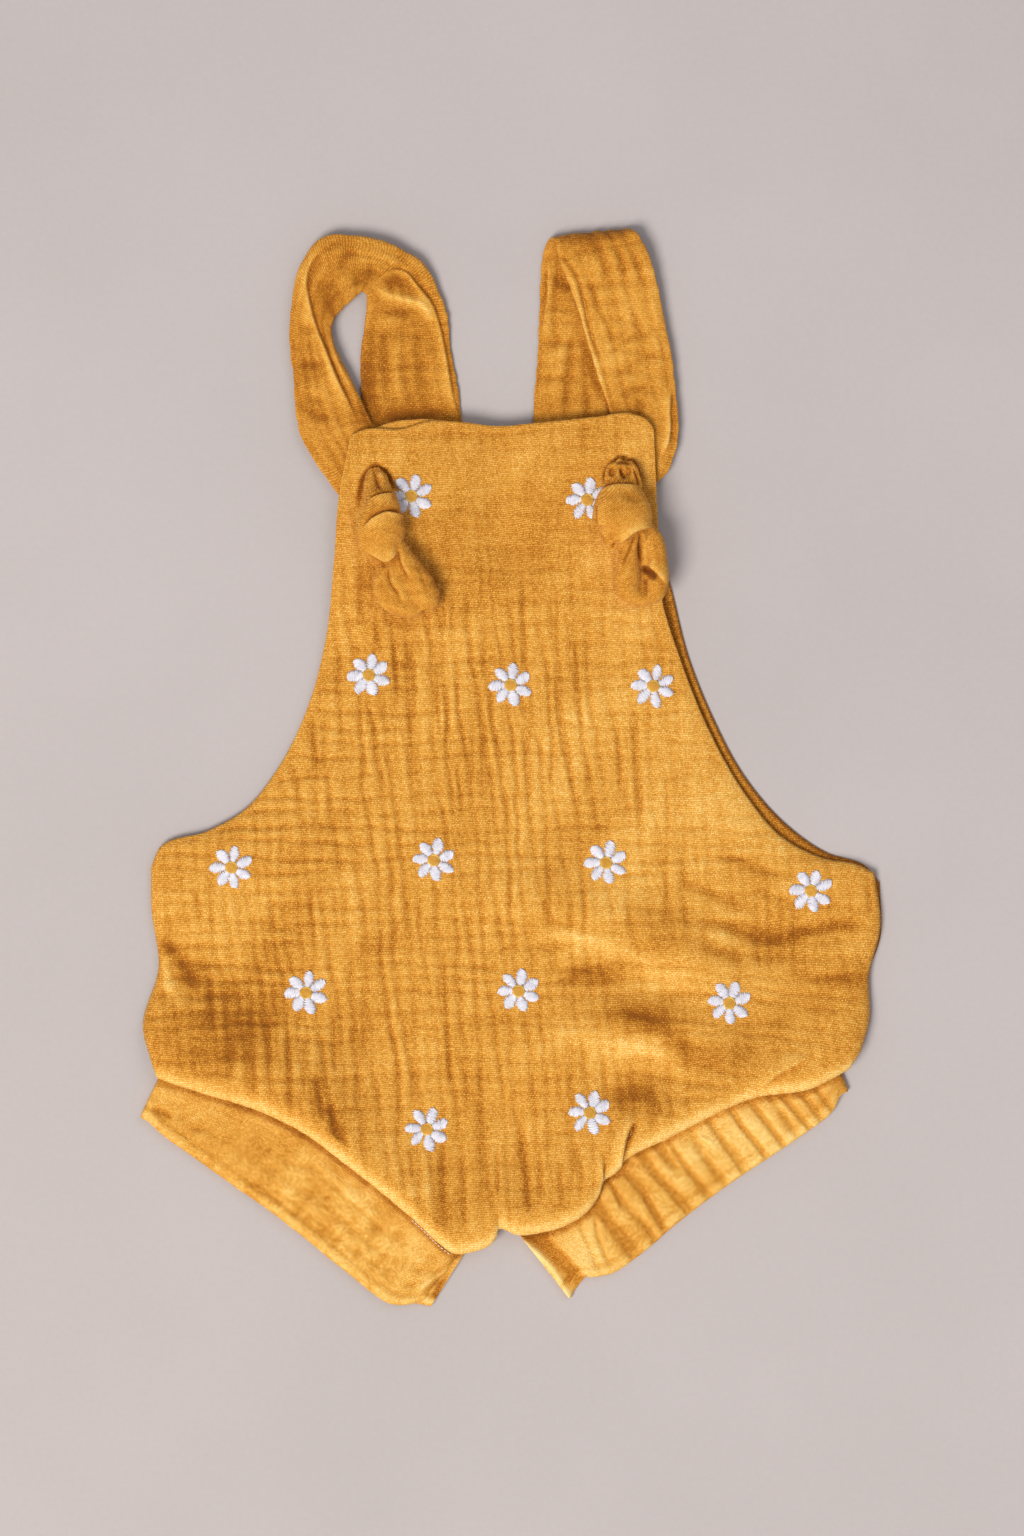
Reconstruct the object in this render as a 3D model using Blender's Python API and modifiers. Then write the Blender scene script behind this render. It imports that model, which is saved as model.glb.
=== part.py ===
"""Baby romper in crinkled double gauze, laid flat on its back with the front up.

Bib and body front are one panel. Each strap comes up from the back panel, folds over,
goes behind the bib, out through a buttonhole and ends in a knot with a short tail.

Metres, +X to the viewer's right, +Y towards the straps, +Z up. The origin is the middle
of the outline, on the surface that the garment lies on. Tables are in millimetres.
"""

import math

import bmesh
import bpy
import numpy as np

MM = 0.001

# Cloth walls, and the gap that pieces keep where they are sewn or lie on each other
PANEL = 1.2
STRAP = 2.4
BAND = 1.8
FACING = 1.0
SEAM = 0.3

# Levels of the stack, from the surface up
BAND_BACK_Z = BAND / 2
BAND_FRONT_Z = 1.5 * BAND + SEAM
ROLL_Z = 2 * BAND + 2 * SEAM
STRAP_BACK_Z = STRAP / 2
STRAP_FRONT_Z = 1.5 * STRAP + SEAM
BIB_Z = 2 * STRAP + 3 * SEAM + FACING

# How finely the panels are divided
COLUMNS = 32
SIDE_ROWS = 8
ARMHOLE_ROWS = 19

CLOTH_COLOUR = (0.70, 0.31, 0.05)

# ---------------------------------------------------------------- outlines, x and y
FRONT_BOTTOM = (
    (-148.1, -130.6), (-127.5, -137.3), (-108.2, -143.2), (-87.0, -153.3), (-69.9, -165.9),
    (-41.0, -189.8), (-30.0, -199.5), (-20.0, -203.4), (-11.5, -200.8), (-4.4, -193.8),
    (4.0, -195.8), (14.0, -194.9), (25.0, -191.0), (34.0, -183.5), (40.0, -173.0),
    (62.0, -157.5), (82.1, -147.4), (101.4, -139.0), (126.0, -134.8), (141.8, -126.8),
)
FRONT_TOP = (
    (-67.0, 138.8), (-62.0, 141.1), (-45.0, 141.6), (-35.0, 144.6), (-20.0, 144.4),
    (-6.0, 142.8), (10.0, 144.0), (35.0, 146.5), (51.0, 147.8), (57.0, 145.6), (60.0, 141.5),
)
FRONT_SIDE_LEFT = (
    (-150.8, -122.6), (-154.2, -110.0), (-147.6, -83.0), (-150.6, -60.0), (-150.8, -42.0),
)
FRONT_ARMHOLE_LEFT = (
    (-150.8, -42.0), (-147.5, -34.2), (-126.6, -26.5), (-111.9, -18.1), (-98.1, -1.3),
    (-85.5, 23.9), (-77.9, 51.2), (-73.9, 87.0), (-72.0, 112.0), (-67.0, 138.8),
)
FRONT_SIDE_RIGHT = (
    (146.9, -118.8), (150.6, -106.3), (150.4, -88.0), (155.2, -66.4), (152.7, -44.5),
)
FRONT_ARMHOLE_RIGHT = (
    (152.7, -44.5), (146.5, -41.3), (130.5, -38.0), (114.5, -29.8), (98.5, -11.3),
    (84.5, 13.0), (71.2, 45.4), (63.6, 70.0), (61.6, 105.4), (60.0, 141.5),
)
BACK_TOP = ((-63.0, 118.0), (-30.0, 118.0), (0.0, 118.0), (30.0, 118.0), (52.0, 118.0))
BACK_SIDE_LEFT = (
    (-149.6, -122.0), (-153.0, -110.0), (-146.8, -83.0), (-149.4, -60.0), (-149.2, -46.0),
)
BACK_ARMHOLE_LEFT = (
    (-149.2, -46.0), (-143.0, -39.0), (-122.0, -31.0), (-106.0, -21.0), (-93.0, -4.0),
    (-81.0, 21.0), (-73.5, 50.0), (-69.0, 87.0), (-63.0, 118.0),
)
BACK_SIDE_RIGHT = (
    (146.0, -118.2), (149.8, -106.3), (149.9, -88.0), (155.2, -72.0), (155.0, -48.5),
)
BACK_ARMHOLE_RIGHT = (
    (155.0, -48.5), (149.7, -42.0), (132.1, -35.7), (116.1, -24.4), (98.5, -4.2),
    (85.5, 19.7), (75.4, 44.5), (65.7, 81.5), (52.0, 118.0),
)

# ------------------------------------------------- the front panel's height and folds
# Height of the wall's underside at the panel's own edge and over its crown
FRONT_HEIGHTS = (
    # y, edge, crown
    (-205.0, 5.7, 5.2),
    (-122.0, 5.7, 5.2),
    (-104.0, 1.6, 5.0),
    (-45.0, 1.6, 4.4),
    (0.0, 1.8, 3.8),
    (45.0, 2.4, 3.8),
    (75.0, 4.4, 5.4),
    (104.0, 6.5, BIB_Z),
    (150.0, 6.7, BIB_Z),
)
EDGE_REACH = 18.0  # how far in from its edge the panel has risen to its crown
PUFF = 4.2  # how much higher the panel stands just above its rolled lower edge
PUFF_REACH = 24.0  # and how far up that dies away

# The lower edge rolls over the leg bands: how far in, and the height of the outer face
ROLL = (
    # inset, height
    (9.0, ROLL_Z),
    (4.0, ROLL_Z),
    (1.0, ROLL_Z + 1.0),
    (0.0, ROLL_Z + 2.8),
    (1.0, ROLL_Z + 4.5),
    (4.0, ROLL_Z + 5.7),
)
ROLL_INSET = 8.0
FLARE_REACH = 14.0  # how far in the side seams draw the panel's lower corners out
ROLL_LEAST = 0.5  # share of the roll's height that is left at the panel's corners

# Soft ridges and troughs between two ends, bowed sideways in plan
FRONT_FOLDS = (
    # x0, y0, x1, y1, bow, half width, height
    (-140.0, -98.0, -72.0, -152.0, 8.0, 17.0, 2.6),
    (-148.0, -66.0, -88.0, -118.0, -6.0, 14.0, -1.8),
    (-22.0, -52.0, 92.0, -90.0, 9.0, 13.0, 2.6),
    (22.0, -92.0, 84.0, -104.0, 6.0, 11.0, -2.0),
    (26.0, -112.0, 96.0, -118.0, 8.0, 11.0, 2.4),
    (30.0, -134.0, 74.0, -134.0, 4.0, 10.0, -2.2),
    (92.0, -72.0, 146.0, -64.0, -4.0, 10.0, -1.6),
    (-122.0, -40.0, -84.0, -22.0, -4.0, 12.0, 1.4),
    (-84.0, 8.0, -66.0, 62.0, -5.0, 12.0, -0.9),
    (-6.0, 150.0, -6.0, 84.0, 0.0, 11.0, -1.4),
    (6.0, -182.0, 2.0, -138.0, 4.0, 9.0, -1.6),
)

# --------------------------------------------------------- straps, knots and leg bands
# Each row is one section across the strap, from its inner edge to its outer one
STRAP_LEFT = (
    # inner x, y, z, outer x, y, z, thickness
    (-60.0, 118.4, STRAP_BACK_Z, -20.0, 118.4, STRAP_BACK_Z, STRAP),
    (-59.2, 143.0, STRAP_BACK_Z, -20.2, 145.0, STRAP_BACK_Z, STRAP),
    (-61.4, 176.0, STRAP_BACK_Z + 0.4, -25.0, 176.0, STRAP_BACK_Z + 0.2, STRAP),
    (-60.4, 194.0, 2.6, -29.0, 197.0, 2.2, 3.4),
    (-60.6, 197.6, 3.4, -36.5, 211.0, 3.4, 4.2),
    (-62.0, 199.0, 4.4, -49.0, 218.8, 4.4, 5.0),
    (-64.6, 197.4, 5.0, -64.0, 222.6, 4.6, 5.2),
    (-69.2, 193.2, 5.2, -77.5, 222.4, 4.2, 5.0),
    (-73.4, 188.2, 4.8, -87.0, 212.0, 3.6, 5.0),
    (-74.8, 182.0, 4.2, -91.8, 194.0, 3.2, 5.0),
    (-72.8, 175.0, 3.8, -92.6, 180.0, 3.0, 4.8),
    (-68.4, 165.4, 3.8, -91.0, 162.0, 3.0, 4.4),
    (-62.8, 154.6, STRAP_FRONT_Z, -90.0, 149.0, 3.2, 3.4),
    (-57.0, 141.5, STRAP_FRONT_Z, -87.2, 137.0, STRAP_FRONT_Z, STRAP),
    (-52.0, 131.0, STRAP_FRONT_Z, -79.6, 124.6, STRAP_FRONT_Z, STRAP),
    (-50.0, 125.0, STRAP_FRONT_Z, -70.0, 111.0, STRAP_FRONT_Z, STRAP),
)
FOLD_LIFT = 6.6  # height of the right strap's own fold over the top
STRAP_RIGHT = (
    # inner x, y, z, outer x, y, z, thickness
    (9.0, 118.4, STRAP_BACK_Z, 47.0, 118.4, STRAP_BACK_Z, STRAP),
    (9.2, 145.0, STRAP_BACK_Z, 47.0, 145.0, STRAP_BACK_Z, STRAP),
    (11.6, 175.0, STRAP_BACK_Z, 48.0, 175.0, STRAP_BACK_Z, STRAP),
    (12.7, 205.0, STRAP_BACK_Z, 48.0, 205.0, STRAP_BACK_Z, STRAP),
    (13.9, 216.0, 1.5, 49.4, 217.0, 1.5, STRAP),
    (16.6, 221.6, 3.2, 50.4, 225.2, 3.2, STRAP),
    (18.2, 220.8, 5.4, 52.0, 224.6, 5.4, STRAP),
    (20.4, 213.4, FOLD_LIFT, 56.0, 219.0, FOLD_LIFT, STRAP),
    (24.4, 203.0, 5.6, 60.4, 206.0, 5.6, STRAP),
    (29.4, 190.0, 4.6, 64.0, 190.0, 4.6, STRAP),
    (34.6, 173.0, 4.1, 67.4, 172.6, 4.1, STRAP),
    (38.4, 160.0, STRAP_FRONT_Z, 69.2, 158.0, STRAP_FRONT_Z, STRAP),
    (42.0, 147.0, STRAP_FRONT_Z, 70.4, 144.6, STRAP_FRONT_Z, STRAP),
    (43.0, 137.0, STRAP_FRONT_Z, 69.4, 133.6, STRAP_FRONT_Z, STRAP),
    (41.0, 130.0, STRAP_FRONT_Z, 64.4, 122.0, STRAP_FRONT_Z, STRAP),
    (40.0, 124.0, STRAP_FRONT_Z, 54.0, 114.0, STRAP_FRONT_Z, STRAP),
)

# The knots: the strap's neck comes up through its buttonhole and is wound into a ball
KNOT_LEFT = (
    # x, y, z, width, height, lean of the section from upright, degrees
    (-57.0, 124.6, 6.3, 9.0, 4.0, 80.0),
    (-57.0, 123.8, 9.2, 10.0, 4.4, 55.0),
    (-57.0, 119.6, 11.2, 12.6, 5.0, 15.0),
    (-56.2, 114.0, 12.6, 14.0, 7.4, 0.0),
    (-55.2, 109.0, 14.6, 19.0, 12.0, 0.0),
    (-54.4, 100.0, 15.6, 22.4, 14.0, 0.0),
    (-53.8, 92.0, 14.8, 19.0, 12.4, 0.0),
    (-53.4, 87.4, 13.2, 12.0, 7.6, 0.0),
)
KNOT_RIGHT = (
    # x, y, z, width, height, lean of the section from upright, degrees
    (46.4, 126.6, 6.3, 9.0, 4.0, 80.0),
    (46.4, 125.8, 9.2, 11.0, 4.4, 55.0),
    (46.4, 121.6, 11.2, 13.0, 5.2, 15.0),
    (46.6, 117.6, 13.0, 17.0, 8.4, 0.0),
    (46.8, 112.6, 15.2, 23.6, 13.0, 0.0),
    (46.8, 105.6, 15.9, 26.0, 14.6, 0.0),
    (47.4, 98.0, 15.2, 23.0, 13.0, 0.0),
    (49.0, 93.4, 13.4, 15.0, 8.6, 0.0),
)
# The tails: what is left of the strap beyond each knot
TAIL_LEFT = (
    # x, y, z, width, height, lean of the section from upright, degrees
    (-53.2, 86.8, 12.6, 11.0, 6.6, 0.0),
    (-51.2, 83.6, 12.4, 15.0, 7.6, 0.0),
    (-48.4, 77.6, 12.4, 20.6, 8.4, 0.0),
    (-45.4, 71.0, 12.2, 25.4, 8.4, 0.0),
    (-42.0, 65.8, 11.8, 21.0, 7.4, 0.0),
    (-39.4, 62.4, 11.2, 12.0, 4.4, 0.0),
)
TAIL_RIGHT = (
    # x, y, z, width, height, lean of the section from upright, degrees
    (54.6, 92.8, 13.0, 13.0, 7.6, 0.0),
    (56.2, 88.6, 12.8, 17.6, 8.4, 0.0),
    (55.8, 81.0, 12.9, 21.0, 9.6, 0.0),
    (55.2, 74.6, 12.9, 22.6, 9.6, 0.0),
    (54.6, 70.2, 12.5, 20.0, 8.6, 0.0),
    (53.8, 68.0, 12.0, 15.0, 6.0, 0.0),
)
WRAP_DEPTH = 0.07  # how deep the winding of a knot shows, as a share of its size
BUTTONHOLES = ((-57.0, 124.2), (46.4, 126.2))
BUTTONHOLE = (14.0, 7.0)

# Leg bands: where each row starts on the body's seam, and its point on the hem. The front
# layer's rows run outwards from the crotch, the back layer's rows run back inwards.
BAND_LEFT_FRONT = (
    # seam x, hem x, hem y
    (-15.5, -37.6, -224.6),
    (-24.0, -46.6, -226.0),
    (-32.0, -53.4, -223.4),
    (-45.0, -69.5, -211.3),
    (-70.0, -96.0, -190.0),
    (-95.0, -121.0, -172.2),
    (-120.0, -139.0, -159.4),
    (-136.0, -149.6, -151.6),
    (-143.4, -154.0, -147.6),
)
BAND_LEFT_BACK = (
    # seam x, hem x, hem y
    (-142.6, -153.0, -147.0),
    (-136.0, -149.0, -150.6),
    (-120.0, -138.0, -158.6),
    (-95.0, -120.0, -171.2),
    (-70.0, -95.0, -189.2),
    (-45.0, -68.0, -210.6),
    (-27.0, -50.0, -222.4),
    (-14.0, -33.4, -226.4),
)
BAND_RIGHT_FRONT = (
    # seam x, hem x, hem y
    (9.6, 33.0, -214.0),
    (18.0, 41.6, -212.8),
    (28.0, 51.6, -206.6),
    (44.0, 71.2, -190.3),
    (66.0, 93.9, -173.5),
    (88.0, 113.0, -160.8),
    (110.0, 129.0, -149.6),
    (126.0, 137.4, -142.0),
    (134.8, 140.2, -136.6),
)
BAND_RIGHT_BACK = (
    # seam x, hem x, hem y
    (134.0, 139.4, -136.2),
    (126.0, 136.6, -141.2),
    (110.0, 128.0, -148.8),
    (88.0, 112.0, -160.0),
    (66.0, 93.0, -172.8),
    (44.0, 70.2, -189.6),
    (27.0, 48.0, -208.6),
    (12.0, 33.0, -213.0),
    (0.0, 24.6, -223.0),
)
BAND_ROWS = 14
BAND_SEAM_DROP = 0.8  # from the back panel's lower edge down to the band, along Y
BAND_FOLD_OUT = 1.4  # how far the fold at the outer end stands out from the last rows

# Facing behind the bib's top edge
BIB_FACING = (
    # top x, y
    (-61.0, 139.6), (-54.0, 143.2), (-38.0, 145.8), (-20.0, 144.0), (-6.0, 142.2),
    (10.0, 143.4), (35.0, 145.8), (52.0, 146.6),
)
FACING_DEPTH = 10.0
FACING_SECTIONS = 20


# ------------------------------------------------------------------------- mathematics
def distances(points):
    """How far along its own line each point lies."""
    steps = np.linalg.norm(np.diff(points, axis=0), axis=1)
    return np.concatenate([[0.0], np.cumsum(steps)])


def smooth(where, rows, at):
    """The rows, read at other places along them, on cubic pieces that join smoothly."""
    where = np.asarray(where, float)
    rows = np.asarray(rows, float)
    slopes = np.gradient(rows, where, axis=0)
    low = np.clip(np.searchsorted(where, at, side="right") - 1, 0, len(where) - 2)
    step = (where[low + 1] - where[low])[:, None]
    t = (np.asarray(at)[:, None] - where[low][:, None]) / step
    return (
        (2 * t**3 - 3 * t**2 + 1) * rows[low]
        + (t**3 - 2 * t**2 + t) * step * slopes[low]
        + (3 * t**2 - 2 * t**3) * rows[low + 1]
        + (t**3 - t**2) * step * slopes[low + 1]
    )


def curve(points, count):
    """Points evenly spaced on a smooth curve through the given ones."""
    points = np.asarray(points, float)
    where = distances(points)
    fine = smooth(where, points, np.linspace(0, where[-1], 30 * len(points)))
    along = distances(fine)
    even = np.linspace(0, along[-1], count)
    return np.stack([np.interp(even, along, fine[:, i]) for i in (0, 1)], 1)


def rise(distance, reach):
    """0 at an edge, rounding up to 1 at reach from it."""
    inward = 1 - np.clip(distance / reach, 0, 1)
    return np.sqrt(1 - inward**2)


def patch(bottom, top, left, right):
    """A plan grid between four edges, rows from the bottom up."""
    up = (distances(left) / distances(left)[-1] + distances(right) / distances(right)[-1]) / 2
    up = up[:, None, None]
    across = np.linspace(0, 1, len(bottom))[None, :, None]
    ends = (1 - up) * bottom[None] + up * top[None]
    sides = (1 - across) * left[:, None] + across * right[:, None]
    corners = (1 - up) * ((1 - across) * bottom[0] + across * bottom[-1])
    corners = corners + up * ((1 - across) * top[0] + across * top[-1])
    return ends + sides - corners


def flared(line, first, last):
    """The line with its ends drawn to first and last, easing over FLARE_REACH."""
    from_first = np.exp(-((distances(line) / FLARE_REACH) ** 2))[:, None]
    from_last = np.exp(-((distances(line[::-1])[::-1] / FLARE_REACH) ** 2))[:, None]
    return line + (first - line[0]) * from_first + (last - line[-1]) * from_last


def edge_pair(side, armhole):
    """One long edge of a panel: up the side seam, then round the armhole."""
    lower = curve(side, SIDE_ROWS + 1)
    upper = curve(armhole, ARMHOLE_ROWS + 1)
    return np.concatenate([lower, upper[1:]])


def fold_height(x, y):
    """What the large folds add to the front panel's height."""
    total = np.zeros_like(x)
    for x0, y0, x1, y1, bow, half_width, height in FRONT_FOLDS:
        length = math.hypot(x1 - x0, y1 - y0)
        along_x, along_y = (x1 - x0) / length, (y1 - y0) / length
        t = ((x - x0) * along_x + (y - y0) * along_y) / length
        aside = (y - y0) * along_x - (x - x0) * along_y
        aside = aside - bow * 4 * t * (1 - t)
        ends = np.clip(np.minimum(t + 0.15, 1.15 - t) / 0.4, 0, 1)
        ends = ends * ends * (3 - 2 * ends)
        total += height * ends * np.exp(-((aside / half_width) ** 2))
    return total


def front_underside(x, y, inward, above):
    """Height of the front panel's inner face.

    inward is 0 at the panel's side and 1 clear of it; above is the distance up from the
    rolled lower edge.
    """
    levels = np.asarray(FRONT_HEIGHTS)
    edge = np.interp(y, levels[:, 0], levels[:, 1])
    crown = np.interp(y, levels[:, 0], levels[:, 2])
    crown = crown + PUFF * np.exp(-((above / PUFF_REACH) ** 2)) + fold_height(x, y)
    return edge + (crown - edge) * inward


# ---------------------------------------------------------------------------- building
def cloth_material(name):
    material = bpy.data.materials.new(name)
    material.use_nodes = True
    shader = material.node_tree.nodes["Principled BSDF"]
    shader.inputs["Base Color"].default_value = (*CLOTH_COLOUR, 1)
    shader.inputs["Roughness"].default_value = 0.9
    shader.inputs["Metallic"].default_value = 0.0
    material.diffuse_color = (*CLOTH_COLOUR, 1)
    return material


def new_object(name, mesh_builder, collection):
    mesh = bpy.data.meshes.new(name)
    mesh_builder.to_mesh(mesh)
    mesh_builder.free()
    mesh.materials.append(cloth_material(name))
    made = bpy.data.objects.new(name, mesh)
    collection.objects.link(made)
    return made


def shell(name, grid, heights, collection):
    """An open grid at the given heights, given the panel's wall on its inner side."""
    rows, columns = heights.shape
    builder = bmesh.new()
    bmesh.ops.create_grid(builder, x_segments=columns - 1, y_segments=rows - 1, size=1)
    builder.verts.ensure_lookup_table()
    places = np.dstack([grid, heights]).reshape(-1, 3) * MM
    for vert, place in zip(builder.verts, places):
        vert.co = place
    made = new_object(name, builder, collection)
    wall = made.modifiers.new("Wall", "SOLIDIFY")
    wall.thickness = PANEL * MM
    wall.offset = -1
    return made


def ring_shape(sides, squareness):
    """Points round a flattened section, as shares of its half width and half height."""
    angles = 2 * math.pi * (np.arange(sides) + 0.5) / sides
    power = 2 / squareness
    across = np.sign(np.cos(angles)) * np.abs(np.cos(angles)) ** power
    over = np.sign(np.sin(angles)) * np.abs(np.sin(angles)) ** power
    return across, over


def loft(name, rings, collection):
    """One closed body through rings of points, capped at both ends."""
    builder = bmesh.new()
    made = [[builder.verts.new(p * MM) for p in ring] for ring in rings]
    for ring, following in zip(made, made[1:]):
        for i in range(len(ring)):
            j = (i + 1) % len(ring)
            builder.faces.new((ring[i], ring[j], following[j], following[i]))
    builder.faces.new(made[0][::-1])
    builder.faces.new(made[-1])
    bmesh.ops.recalc_face_normals(builder, faces=builder.faces)
    body = new_object(name, builder, collection)
    body.data.shade_smooth()
    return body


def ribbon(name, rows, sections, collection, sides=12, squareness=3.2):
    """A flat strip through rows that give its two edges and its thickness."""
    rows = np.asarray(rows, float)
    centres = (rows[:, 0:3] + rows[:, 3:6]) / 2
    where = distances(centres)
    rows = smooth(where, rows, np.linspace(0, where[-1], sections))
    inner, outer, thick = rows[:, 0:3], rows[:, 3:6], rows[:, 6]
    centres = (inner + outer) / 2
    half = (outer - inner) / 2
    normal = np.cross(half, np.gradient(centres, axis=0))
    normal /= np.linalg.norm(normal, axis=1)[:, None]
    across, over = ring_shape(sides, squareness)
    rings = []
    for i, centre in enumerate(centres):
        ring = centre + across[:, None] * half[i] + over[:, None] * normal[i] * thick[i] / 2
        rings.append(ring)
    return loft(name, rings, collection)


def wound(name, rows, sections, wraps, collection, sides=16):
    """A rounded body along a path, its skin wound round with soft diagonal turns."""
    rows = np.asarray(rows, float)
    where = distances(rows[:, 0:3])
    rows = smooth(where, rows, np.linspace(0, where[-1], sections))
    x, y, z, width, height, lean = rows.T
    angles = 2 * math.pi * np.arange(sides) / sides
    rings = []
    for i in range(sections):
        turn = wraps * (angles + 2.6 * i / sections)
        swell = 1 + WRAP_DEPTH * np.cos(turn) * np.sin(math.pi * i / (sections - 1))
        aside = np.cos(angles) * width[i] / 2 * swell
        upward = np.sin(angles) * height[i] / 2 * swell
        tilt = math.radians(lean[i])
        ring = np.stack(
            [
                x[i] + aside,
                y[i] + upward * math.sin(tilt),
                z[i] + upward * math.cos(tilt),
            ],
            1,
        )
        rings.append(ring)
    return loft(name, rings, collection)


# ------------------------------------------------------------------------------ pieces
def front_panel(collection, cutters):
    """Bib and body front in one, from the turned-under lower edge to the bib's top."""
    seam = curve(FRONT_BOTTOM, COLUMNS + 1)
    top = curve(FRONT_TOP, COLUMNS + 1)
    left = edge_pair(FRONT_SIDE_LEFT, FRONT_ARMHOLE_LEFT)
    right = edge_pair(FRONT_SIDE_RIGHT, FRONT_ARMHOLE_RIGHT)
    raised = flared(seam + (0, ROLL_INSET), left[0], right[0])
    grid = patch(raised, top, left, right)
    aside = np.minimum(
        np.linalg.norm(grid - grid[:, :1], axis=2), np.linalg.norm(grid - grid[:, -1:], axis=2)
    )
    inward = rise(aside, EDGE_REACH)
    above = np.linalg.norm(grid - grid[:1], axis=2)
    heights = front_underside(grid[..., 0], grid[..., 1], inward, above) + PANEL
    roll_grid = np.stack([seam + (raised - seam) * inset / ROLL_INSET for inset, _ in ROLL])
    share = ROLL_LEAST + (1 - ROLL_LEAST) * inward[0]
    roll_heights = np.stack([ROLL_Z + (level - ROLL_Z) * share for _, level in ROLL])
    grid = np.concatenate([roll_grid, grid])
    heights = np.concatenate([roll_heights, heights])
    made = shell("front_panel", grid, heights, collection)
    for side, (x0, y0) in zip(("left", "right"), BUTTONHOLES):
        cutter = buttonhole_cutter(f"buttonhole_{side}", x0, y0, cutters)
        cut = made.modifiers.new("Buttonhole", "BOOLEAN")
        cut.operation = "DIFFERENCE"
        cut.solver = "EXACT"
        cut.object = cutter
    return made


def buttonhole_cutter(name, x, y, cutters):
    builder = bmesh.new()
    bmesh.ops.create_cube(builder, size=1)
    made = new_object(name, builder, cutters)
    made.scale = (BUTTONHOLE[0] * MM, BUTTONHOLE[1] * MM, 12 * MM)
    made.location = (x * MM, y * MM, (BIB_Z + PANEL / 2) * MM)
    made.hide_render = True
    made.display_type = "WIRE"
    return made


def back_panel(collection):
    """The back, flat on the surface, its top edge hidden behind the bib."""
    left = edge_pair(BACK_SIDE_LEFT, BACK_ARMHOLE_LEFT)
    right = edge_pair(BACK_SIDE_RIGHT, BACK_ARMHOLE_RIGHT)
    bottom = curve(FRONT_BOTTOM, COLUMNS + 1)[::2] + (0, ROLL_INSET)
    bottom = flared(bottom, left[0], right[0])
    top = curve(BACK_TOP, COLUMNS // 2 + 1)
    grid = patch(bottom, top, left, right)
    return shell("back_panel", grid, np.full(grid.shape[:2], PANEL), collection)


def body_seam(x):
    """Y of the line that the leg bands are sewn to."""
    line = curve(FRONT_BOTTOM, 8 * COLUMNS)
    return np.interp(x, line[:, 0], line[:, 1]) + ROLL_INSET - BAND_SEAM_DROP


def band_layer(rows, level):
    """Both edges of one layer of a leg band: (seam x, y, z, hem x, y, z) for each section."""
    rows = np.asarray(rows, float)
    where = distances(rows[:, 1:3])
    rows = smooth(where, rows, np.linspace(0, where[-1], BAND_ROWS))
    seam_x, hem_x, hem_y = rows.T
    z = np.full(BAND_ROWS, level)
    return np.stack([seam_x, body_seam(seam_x), z, hem_x, hem_y, z], 1)


def leg_band(name, front, back, collection):
    """A band round the leg: its front layer, the fold at its outer end, its back layer."""
    front_rows = band_layer(front, BAND_FRONT_Z)
    back_rows = band_layer(back, BAND_BACK_Z)
    fold = (front_rows[-1] + back_rows[0]) / 2
    fold[[0, 3]] += math.copysign(BAND_FOLD_OUT, fold[0])
    rows = np.concatenate([front_rows, [fold], back_rows])
    heading = np.gradient(rows[:, 0:3] + rows[:, 3:6], axis=0)
    across, over = ring_shape(8, 6.0)
    rings = []
    for row, ahead in zip(rows, heading):
        half = (row[3:6] - row[0:3]) / 2
        normal = np.cross(half, ahead)
        normal *= BAND / 2 / np.linalg.norm(normal)
        centre = (row[0:3] + row[3:6]) / 2
        rings.append(centre + across[:, None] * half + over[:, None] * normal)
    return loft(name, rings, collection)


def bib_facing(collection):
    """The turned-in edge that shows behind the bib's top, just under the bib."""
    line = np.asarray(BIB_FACING)
    where = distances(line)
    x, y = smooth(where, line, np.linspace(0, where[-1], FACING_SECTIONS)).T
    z = front_underside(x, y, 1.0, y - FRONT_BOTTOM[0][1]) - SEAM - FACING / 2
    thick = np.full(FACING_SECTIONS, FACING)
    rows = np.stack([x, y, z, x, y - FACING_DEPTH, z, thick], 1)
    return ribbon("bib_facing", rows, FACING_SECTIONS, collection, sides=8, squareness=5.0)


def clear_scene():
    for found in list(bpy.data.objects):
        bpy.data.objects.remove(found, do_unlink=True)


def main():
    clear_scene()
    romper = bpy.data.collections.new("baby_romper")
    cutters = bpy.data.collections.new("cutters")
    for made in (romper, cutters):
        bpy.context.scene.collection.children.link(made)
    front_panel(romper, cutters)
    back_panel(romper)
    bib_facing(romper)
    leg_band("leg_band_left", BAND_LEFT_FRONT, BAND_LEFT_BACK, romper)
    leg_band("leg_band_right", BAND_RIGHT_FRONT, BAND_RIGHT_BACK, romper)
    ribbon("strap_left", STRAP_LEFT, 40, romper)
    ribbon("strap_right", STRAP_RIGHT, 40, romper)
    wound("knot_left", KNOT_LEFT, 18, 2, romper)
    wound("knot_right", KNOT_RIGHT, 18, 2, romper)
    wound("tail_left", TAIL_LEFT, 9, 1, romper, sides=12)
    wound("tail_right", TAIL_RIGHT, 9, 1, romper, sides=12)


main()
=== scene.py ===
"""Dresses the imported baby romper: crinkled double gauze laid flat, straps knotted through the bib.

Metres in the row frame; lengths and tables here are in millimetres. The forms repeat the named
values of the CAD part, and every piece rides on the part's one body.
"""

import math

import bmesh
import bpy
import numpy as np
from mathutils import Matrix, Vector
from mathutils.bvhtree import BVHTree


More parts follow.
